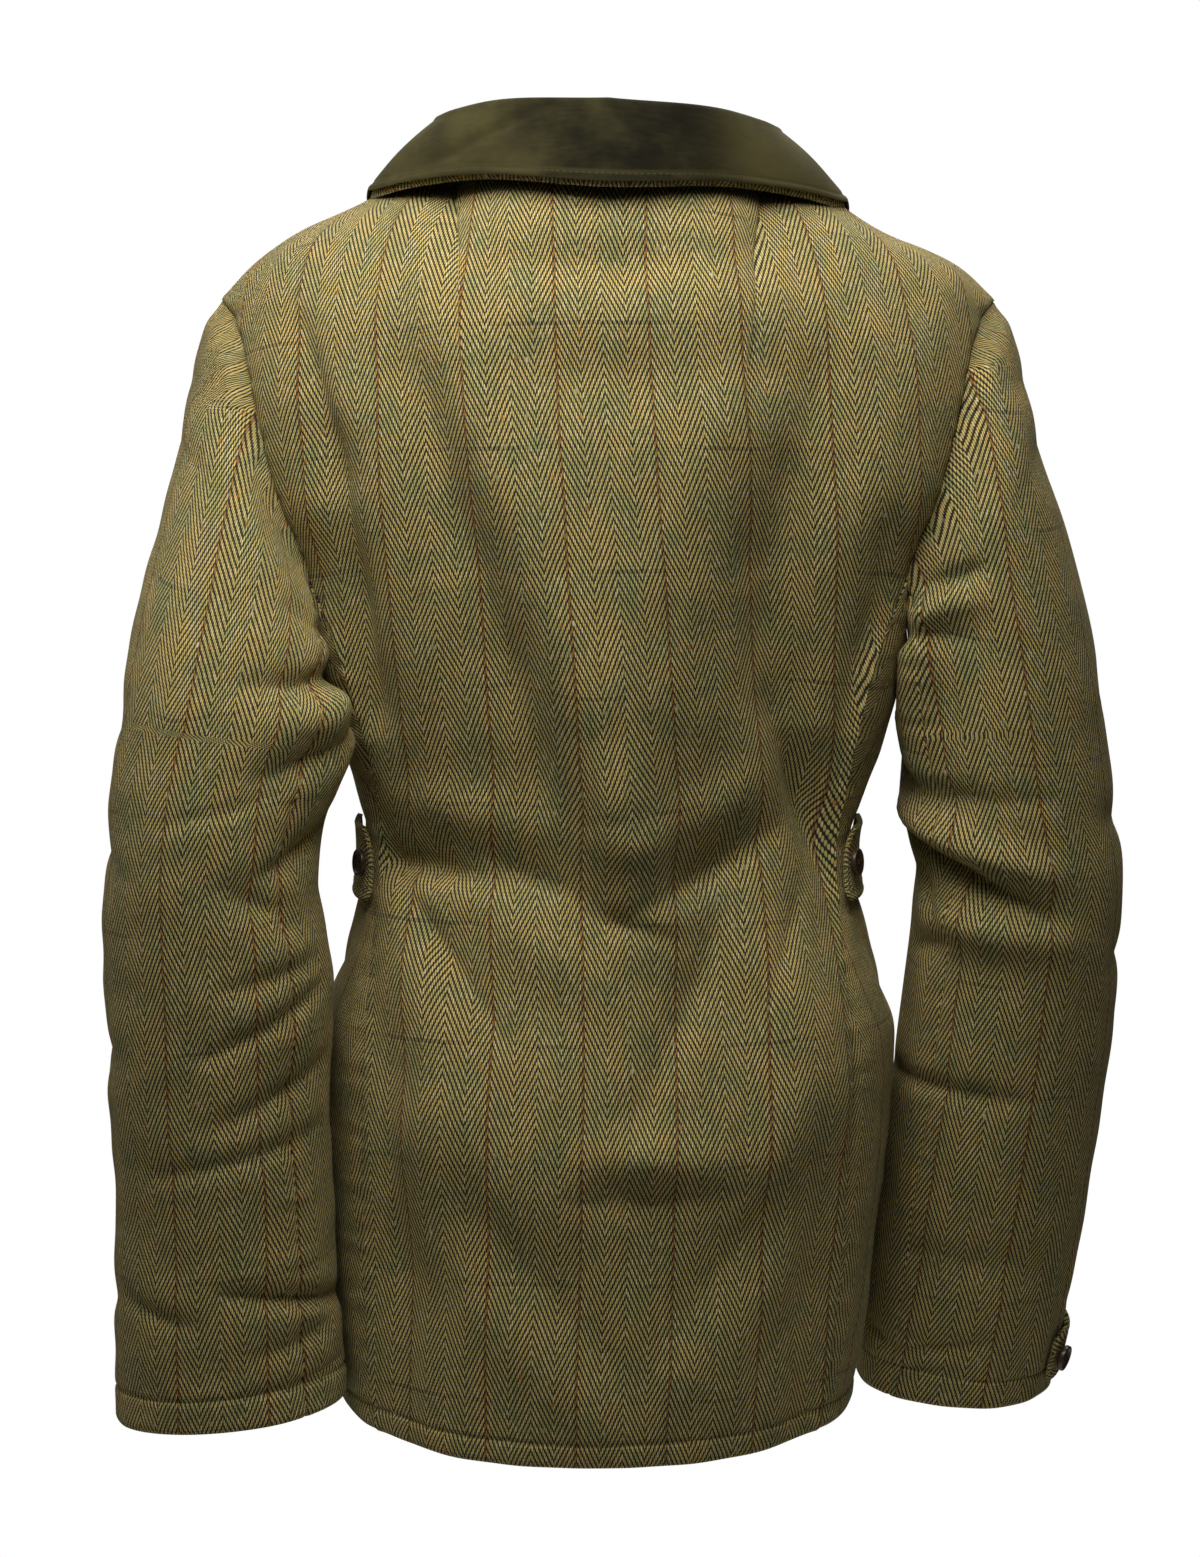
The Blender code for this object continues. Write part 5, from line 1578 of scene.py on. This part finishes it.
# %% The creased collar
def creased_collar(angle, w):
    edge = collar_edge(angle, w)
    depth = collar_dents(angle, w)
    groove = COLLAR_GROOVE * np.exp(-((edge - COLLAR_LINE) / COLLAR_GROOVE_WIDTH) ** 2)
    depth += groove * np.clip(w - LEAF_START, 0, 1)
    depth -= COLLAR_RAISE * np.clip(1 - edge / COLLAR_LINE, 0, 1) ** 0.5
    depth += rolled_edge(edge, depth=0.0006, reach=0.002)
    return collar_plain(angle, w) - outward(collar_plain, angle, w, COLLAR_LIMITS) * depth[..., None]


def rolled_under_collar(angle, w):
    depth = collar_dents(angle, w)
    depth += rolled_edge(collar_edge(angle, w), depth=0.0030, reach=0.008)
    normal = outward(collar_plain, angle, w, COLLAR_LIMITS)
    return under_collar_surface(angle, w) - normal * depth[..., None]


print("collar sewn", COLLAR_LINE * 1000, "mm from its edge")

# %% Collar
FRONT_GIRTH = 0.125             # as COLLAR_GIRTH, where the collar comes forward
STAND_LENGTH = 0.032
FOLD_LENGTH = 0.010
UNDER_COLLAR_RUST = 0.012
quarter_turn = math.pi / 2
front_turn = COLLAR_END - quarter_turn
front_length = front_turn * FRONT_GIRTH
half = joined(walk(quarter_turn * COLLAR_GIRTH, []) * quarter_turn,
              quarter_turn + walk(front_length, [front_length]) * front_turn)
collar_columns = joined(-half[::-1], half)
collar_rows = joined(walk(STAND_LENGTH, []), 1 + walk(FOLD_LENGTH, [FOLD_LENGTH / 2]),
                     2 + walk(LEAF_LENGTH, [LEAF_LENGTH, LEAF_LENGTH - COLLAR_LINE]))
across, up, _ = lengths(collar_plain, collar_columns, collar_rows, 0)
upper_collar = lay_cloth("upper_collar_cloth", creased_collar, collar_columns, collar_rows,
                         (across, up), COLLAR_WALL, moleskin, flip=False)
under_collar = lay_cloth("under_collar_cloth", rolled_under_collar, collar_columns, collar_rows,
                         (across + UNDER_COLLAR_RUST, up), COLLAR_WALL, tweed, flip=False)
print("collar is", round(float(np.ptp(across)), 3), "by", round(float(np.ptp(up)), 3))

# %% Painted highlight along the collar's edge
EDGE_HIGHLIGHT_WIDTH = 0.0012
mesh = upper_collar.data
count = len(collar_columns) * len(collar_rows)
edge_highlight = mesh.attributes.new("edge", "FLOAT", "POINT")
angle, w = np.meshgrid(collar_columns, collar_rows)
near = collar_edge(angle, w)
# Painted highlight: a lighter line just past the sewing, and another at the very edge, where the raised edge
# catches the light.
beside_sewing = np.exp(-((near - COLLAR_LINE - EDGE_HIGHLIGHT_WIDTH) / EDGE_HIGHLIGHT_WIDTH) ** 2)
strength = beside_sewing * 0.8 + np.exp(-(near / EDGE_HIGHLIGHT_WIDTH) ** 2) * 0.6
strength = strength * np.clip(w - LEAF_START, 0, 1)
values = np.zeros(len(mesh.vertices))
values[:2 * count] = np.tile(strength.ravel(), 2)[:len(values)]
edge_highlight.data.foreach_set("value", values)
print("edge of the nap on", int((values > 0.1).sum()), "points")

# %% [markdown]
# ## Tabs
# Two short tabs pull the waist in at the side seams, and one tab sits on each cuff. Each is two layers
# of tweed turned inside out, so it has soft, rounded edges and a row of stitches near them. The seam inside
# could be modelled too, but nobody sees it: a grid with rounded corners and a rolled edge looks the same.

# %% Points on the tabs
TAB_THICKNESS = 0.003
TAB_GAP = 0.0012                # between a tab and the cloth below it
WAIST_TAB_TOP = -0.341
WAIST_TAB_BOTTOM = -0.383
WAIST_TAB_LENGTH = 0.062
WAIST_TAB_PAST_SEAM = 0.001
WAIST_TAB_TILT = 0.006
WAIST_TAB_FLARE = 0.001         # how far the free end's corners stand off
CUFF_TAB_LOW = 0.012            # heights above the cuff's edge
CUFF_TAB_HIGH = 0.046
CUFF_TAB_TURN = math.radians(102)
LEFT_CUFF_TAB = math.radians(-20)
RIGHT_CUFF_TAB = math.radians(34)


def waist_tab_surface(side):
    """Worked out on the +X side: along is 0 at the free end and 1 where it is sewn on."""
    def body(angle, height):
        return torso(angle, height, side)

    def surface(along, high):
        middle = np.full_like(along, (WAIST_TAB_TOP + WAIST_TAB_BOTTOM) / 2)
        height = middle + high * (WAIST_TAB_TOP - WAIST_TAB_BOTTOM) / 2
        girth = np.linalg.norm(body(seam_angle(middle), middle)[..., :2], axis=-1)
        start = WAIST_TAB_TILT * (high + 0.3) * (1 - along) - WAIST_TAB_PAST_SEAM * side
        angle = seam_angle(middle) + (along * WAIST_TAB_LENGTH + start) / girth
        flare = WAIST_TAB_FLARE * high**2 * (1 - along)
        normal = outward(body, angle, height, (0, math.pi, HEM, YOKE), flip=True)
        return body(angle, height) + normal * (TAB_GAP + TAB_THICKNESS + flare)[..., None]

    return surface


def cuff_tab_surface(sleeve, arm, start):
    """Along is 0 at the free end, at the back, and high runs from -1 to 1."""
    def surface(along, high):
        angle = start - along * CUFF_TAB_TURN
        length = arm[0].height - arm[-1].height
        share = (high + 1) / 2
        s = 2 - (CUFF_TAB_LOW + share * (CUFF_TAB_HIGH - CUFF_TAB_LOW)) / length
        normal = outward(sleeve, angle, s, SLEEVE_LIMITS, flip=True)
        return sleeve(angle, s) + normal * (TAB_GAP + TAB_THICKNESS)

    return surface


print("tabs are", WAIST_TAB_LENGTH, "and", round(CUFF_TAB_TURN * SLEEVE_RADIUS, 3), "long")

# %% The edge of a tab
TAB_CORNER = 0.45               # share of a tab's half width that its corners are rounded over
TAB_LINE = 0.0045               # from a tab's edge to its sewing
TAB_GROOVE = 0.0004
TAB_GROOVE_WIDTH = 0.001


def sewn_tab(plain, length, width):
    """A tab with rounded free corners, a rolled edge and a groove where it is sewn."""
    def surface(along, high):
        bent = np.clip((np.abs(high) - 1 + TAB_CORNER) / TAB_CORNER, 0, 1)
        radius = TAB_CORNER * width / 2
        inset = radius * (1 - np.sqrt(np.clip(1 - bent**2, 0, 1))) / length
        moved = inset + along * (1 - inset)
        edge = np.minimum(np.minimum(moved - inset, 1 - moved) * length, (1 - np.abs(high)) * width / 2)
        groove = TAB_GROOVE * np.exp(-((edge - TAB_LINE) / TAB_GROOVE_WIDTH) ** 2)
        depth = rolled_edge(edge, depth=0.0012, reach=0.0025) + groove
        return plain(moved, high) - outward(plain, moved, high, NO_LIMITS, flip=True) * depth[..., None]

    return surface


print("tabs sewn", TAB_LINE * 1000, "mm from their edge")

# %% Tabs
TAB_FINE = 0.008                # a tab's grid is finer this near its edges
TAB_RUST = 0.006
TAB_NAVY = 0.02
tab_surfaces = {}
waist_width = WAIST_TAB_TOP - WAIST_TAB_BOTTOM
cuff_width = CUFF_TAB_HIGH - CUFF_TAB_LOW
cuff_length = CUFF_TAB_TURN * SLEEVE_RADIUS
left_cuff_plain = cuff_tab_surface(plain_sleeves["left"], LEFT_ARM, LEFT_CUFF_TAB)
right_cuff_plain = cuff_tab_surface(plain_sleeves["right"], RIGHT_ARM, RIGHT_CUFF_TAB)
Tab = namedtuple("Tab", "name plain length width left")
TABS = rows_of(
    Tab,
    ("waist_tab_left", waist_tab_surface(1), WAIST_TAB_LENGTH, waist_width, True),
    ("waist_tab_right", waist_tab_surface(-1), WAIST_TAB_LENGTH, waist_width, False),
    ("cuff_tab_left", left_cuff_plain, cuff_length, cuff_width, True),
    ("cuff_tab_right", right_cuff_plain, cuff_length, cuff_width, False),
)
for tab in TABS:
    surface = sewn_tab(tab.plain, tab.length, tab.width)
    if not tab.left:
        surface = mirrored(surface)
    tab_surfaces[tab.name] = surface
    columns = walk(tab.length, [0, tab.length, TAB_LINE], TAB_FINE)
    rows = walk(tab.width, [0, tab.width], TAB_FINE) * 2 - 1
    across, up, _ = lengths(tab.plain, columns, rows, 0)
    piece = lay_cloth(tab.name + "_cloth", surface, columns, rows, (up + TAB_RUST, across + TAB_NAVY),
                      TAB_THICKNESS, tweed, tab.left)
    print(tab.name, "is", round(tab.length, 3), "by", round(tab.width, 3))

# %% [markdown]
# ## Buttons
# A horn button is a thick disc with a raised rim, a dished middle and four holes sewn through. It is
# turned from a cylinder here: the top face is inset and pushed down, the rim is bevelled, and four small
# cylinders cut the holes. Each of the two sizes is modelled once, lying flat, and its copies are moved to
# their places.

# %% Choosing a face and drilling a hole
DRILL_SIDES = 14


def choose_top(disc):
    """Selects the faces of a disc that look up."""
    bpy.ops.object.mode_set(mode="EDIT")
    bpy.ops.mesh.select_all(action="DESELECT")
    bpy.ops.object.mode_set(mode="OBJECT")
    for face in disc.data.polygons:
        face.select = face.normal.z > 0.9


def drill_hole(disc, spot, radius, depth):
    """Cuts a round hole through a disc with a cylinder, which is then thrown away."""
    bpy.ops.mesh.primitive_cylinder_add(vertices=DRILL_SIDES, radius=radius, depth=depth, location=spot)
    drill = bpy.context.active_object
    select_only(disc)
    hole = disc.modifiers.new("hole", "BOOLEAN")
    hole.operation = "DIFFERENCE"
    hole.solver = "EXACT"
    hole.object = drill
    bpy.ops.object.modifier_apply(modifier="hole")
    bpy.data.objects.remove(drill)


print("a hole has", DRILL_SIDES, "sides")

# %% One button
RIM_WIDTH = 0.22                # sizes across a button are shares of its radius
DISH_SLOPE = 0.10
DISH_STEP = 0.25
HOLE_PLACE = 0.24
HOLE_RADIUS = 0.105
DISH_DEPTH = 0.30               # depths are shares of its thickness
STEP_DEPTH = 0.06
RIM_BEVEL = 0.22
HOLES = 4
DISC_SIDES = 40


def pattern_button(radius, thickness):
    """A button lying flat at the origin."""
    bpy.ops.object.select_all(action="DESELECT")
    bpy.ops.mesh.primitive_cylinder_add(vertices=DISC_SIDES, radius=radius, depth=thickness)
    disc = bpy.context.active_object
    choose_top(disc)
    bpy.ops.object.mode_set(mode="EDIT")
    bpy.ops.mesh.inset(thickness=radius * RIM_WIDTH)
    bpy.ops.mesh.inset(thickness=radius * DISH_SLOPE)
    bpy.ops.transform.translate(value=(0, 0, -thickness * DISH_DEPTH))
    bpy.ops.mesh.inset(thickness=radius * DISH_STEP)
    bpy.ops.transform.translate(value=(0, 0, -thickness * STEP_DEPTH))
    bpy.ops.object.mode_set(mode="OBJECT")
    rim = disc.modifiers.new("rim", "BEVEL")
    rim.width = thickness * RIM_BEVEL
    rim.segments = 3
    rim.limit_method = "ANGLE"
    rim.angle_limit = math.radians(50)
    bpy.ops.object.modifier_apply(modifier="rim")
    for turn in range(HOLES):
        angle = math.pi / 4 + turn * math.pi / 2
        spot = (radius * HOLE_PLACE * math.cos(angle), radius * HOLE_PLACE * math.sin(angle), 0)
        drill_hole(disc, spot, radius * HOLE_RADIUS, thickness * 3)
    select_only(disc)
    bpy.ops.object.shade_smooth_by_angle(angle=math.radians(40))
    disc.data.materials.clear()
    disc.data.materials.append(horn)
    return disc


print("a button has", HOLES, "holes")

# %% Its thread
STRAND_RADIUS = 0.075           # shares of the button's radius
STRAND_LENGTH = 0.58
STRAND_HEIGHT = 0.20            # shares of the button's thickness
STRAND_DIP = 0.28


def pattern_thread(radius, thickness):
    """Two crossed strands through the holes of a button, joined as one piece."""
    strands = []
    for turn in (math.pi / 4, -math.pi / 4):
        bpy.ops.object.select_all(action="DESELECT")
        bpy.ops.mesh.primitive_cylinder_add(
            vertices=10, radius=radius * STRAND_RADIUS, depth=radius * STRAND_LENGTH,
            location=(0, 0, thickness * STRAND_HEIGHT), rotation=(math.pi / 2, 0, turn))
        strand = bpy.context.active_object
        bpy.ops.object.mode_set(mode="EDIT")
        bpy.ops.mesh.subdivide(number_cuts=3)
        bpy.ops.object.mode_set(mode="OBJECT")
        bpy.ops.object.transform_apply(location=True, rotation=True, scale=True)
        for vertex in strand.data.vertices:
            out = math.hypot(vertex.co.x, vertex.co.y) / (radius * STRAND_LENGTH / 2)
            vertex.co.z -= thickness * STRAND_DIP * min(out, 1.1) ** 4
        strands.append(strand)
    for strand in strands:
        strand.select_set(True)
    bpy.context.view_layer.objects.active = strands[0]
    bpy.ops.object.join()
    made = bpy.context.active_object
    bpy.ops.object.shade_smooth_by_angle(angle=math.radians(60))
    made.data.materials.clear()
    made.data.materials.append(thread)
    return made


FRONT_BUTTON = (0.010, 0.0038)  # radius and thickness
SMALL_BUTTON = (0.0075, 0.0030)
patterns = {size: (pattern_button(*size), pattern_thread(*size)) for size in (FRONT_BUTTON, SMALL_BUTTON)}
print("button patterns:", len(patterns))

# %% Sewing on one button
BUTTON_GAP = 0.0015             # the thread holds a button this far off the cloth


def along_surface(surface, u, v, flip):
    """Places on a surface and the way it faces there."""
    return surface(u, v), outward(surface, u, v, NO_LIMITS, flip)


def on_surface(surface, u, v, flip):
    """The same for one place."""
    place, normal = along_surface(surface, np.array([u], dtype=float), np.array([v], dtype=float), flip)
    return place[0], normal[0]


def sew_on(node, place, normal, size):
    """Copies of the button and its thread, turned to face along the normal."""
    facing = Vector(normal).to_track_quat("Z", "Y")
    middle = Vector(place) + Vector(normal) * (BUTTON_GAP + size[1] / 2)
    for pattern, ending in zip(patterns[size], ("_horn", "_thread")):
        piece = pattern.copy()
        piece.data = pattern.data.copy()
        piece.name = node + ending
        bpy.context.scene.collection.objects.link(piece)
        piece.rotation_mode = "QUATERNION"
        piece.rotation_quaternion = facing
        piece.location = middle
        select_only(piece)
        bpy.ops.object.transform_apply(location=True, rotation=True, scale=True)
        piece.rotation_mode = "XYZ"
        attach(piece, "root")
        if ending == "_horn":
            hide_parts(node)


print("buttons stand", BUTTON_GAP * 1000, "mm off the cloth")

# %% Buttons in their places
BUTTON_INSET = 0.011            # from a tab's free end to its button
FRONT_BUTTONS = 5
FRONT_BUTTON_TOP = -0.118
FRONT_BUTTON_PITCH = 0.102
front_face = mirrored(lapped_front)
heights = np.linspace(0, 2, 400)
front_line = front_face(np.zeros_like(heights), heights)[:, 2]
for i in range(FRONT_BUTTONS):
    v = float(np.interp(FRONT_BUTTON_TOP - i * FRONT_BUTTON_PITCH, front_line, heights))
    sew_on(f"front_button_{i + 1}", *on_surface(front_face, 0, v, True), FRONT_BUTTON)
for tab in TABS:
    plain = tab.plain if tab.left else mirrored(tab.plain)
    place, normal = on_surface(plain, BUTTON_INSET / tab.length, 0, tab.left)
    sew_on(tab.name.replace("tab", "button"), place, normal, SMALL_BUTTON)
for size in patterns:
    for pattern in patterns[size]:
        bpy.data.objects.remove(pattern)
print("buttons sewn on:", FRONT_BUTTONS + len(TABS))

# %% [markdown]
# ## Stitches
# Rows of small stitches hold the collar's edge and the tabs. The hem and the cuffs are sewn from inside, so
# only a groove shows there. Stitches drawn in the finish would be flat, so each is a tiny grain of thread
# lying in its groove. Hundreds of loose objects would be slow, so one grain is modelled and all copies of
# a row become one mesh.

# %% One stitch
STITCH_LENGTH = 0.0024
STITCH_WIDTH = 0.0007
STITCH_FLAT = 0.8               # height of a stitch as a share of its width
STITCH_PITCH = 0.0034
bpy.ops.object.select_all(action="DESELECT")
bpy.ops.mesh.primitive_uv_sphere_add(segments=6, ring_count=4, radius=0.5)
grain = bpy.context.active_object
bpy.ops.object.mode_set(mode="EDIT")
bpy.ops.mesh.select_all(action="SELECT")
bpy.ops.transform.resize(value=(STITCH_LENGTH, STITCH_WIDTH, STITCH_WIDTH * STITCH_FLAT))
bpy.ops.object.mode_set(mode="OBJECT")
grain_points = np.array([vertex.co for vertex in grain.data.vertices])
grain_faces = [list(face.vertices) for face in grain.data.polygons]
bpy.data.objects.remove(grain)
print("a stitch has", len(grain_faces), "faces")

# %% A row of stitches
LOOK_AHEAD = 0.0008             # how far along the line a stitch takes its direction from
SHORTEST = 1e-9


def between(places, run, values):
    """Points or directions at some lengths along a line."""
    return np.stack([np.interp(places, run, values[:, i]) for i in range(3)], axis=-1)


def stitch_row(name, line, normal, carried_by):
    """Stitches along a line of points, each turned along the line and lying on the cloth."""
    run = np.concatenate([[0], np.cumsum(np.linalg.norm(np.diff(line, axis=0), axis=1))])
    places = np.arange(STITCH_PITCH / 2, run[-1], STITCH_PITCH)
    spot = between(places, run, line)
    ahead = between(places + LOOK_AHEAD, run, line) - spot
    ahead /= np.maximum(np.linalg.norm(ahead, axis=1, keepdims=True), SHORTEST)
    out = between(places, run, normal)
    out -= ahead * (out * ahead).sum(axis=1, keepdims=True)
    out /= np.linalg.norm(out, axis=1, keepdims=True)
    side = np.cross(out, ahead)
    turned = grain_points[None, :, :1] * ahead[:, None] + grain_points[None, :, 1:2] * side[:, None]
    turned = turned + grain_points[None, :, 2:] * out[:, None] + spot[:, None]
    count = len(grain_points)
    faces = [[index + count * i for index in face] for i in range(len(places)) for face in grain_faces]
    mesh = bpy.data.meshes.new(name)
    mesh.from_pydata(turned.reshape(-1, 3).tolist(), [], faces)
    mesh.materials.append(thread)
    piece = bpy.data.objects.new(name, mesh)
    bpy.context.scene.collection.objects.link(piece)
    select_only(piece)
    bpy.ops.object.shade_smooth()
    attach(piece, "root")
    print(name, len(places), "stitches")


print("stitches every", STITCH_PITCH * 1000, "mm")

# %% Rows of stitches
COLLAR_STITCH_END = COLLAR_END - 0.05
TAB_CORNERS = 0.35              # power that turns a round line of stitches into one with corners
collar_turn = np.linspace(-1, 1, 300) * COLLAR_STITCH_END
collar_line = np.full_like(collar_turn, 3 - COLLAR_LINE / LEAF_LENGTH)
stitch_row("collar_stitches", *along_surface(creased_collar, collar_turn, collar_line, False), "moleskin")
ring = np.linspace(0, 2 * math.pi, 200)
for tab in TABS:
    along = 0.5 - signed_power(np.cos(ring), TAB_CORNERS) * (0.5 - TAB_LINE / tab.length)
    high = signed_power(np.sin(ring), TAB_CORNERS) * (1 - 2 * TAB_LINE / tab.width)
    stitch_row(tab.name + "_stitches", *along_surface(tab_surfaces[tab.name], along, high, tab.left), "tweed")
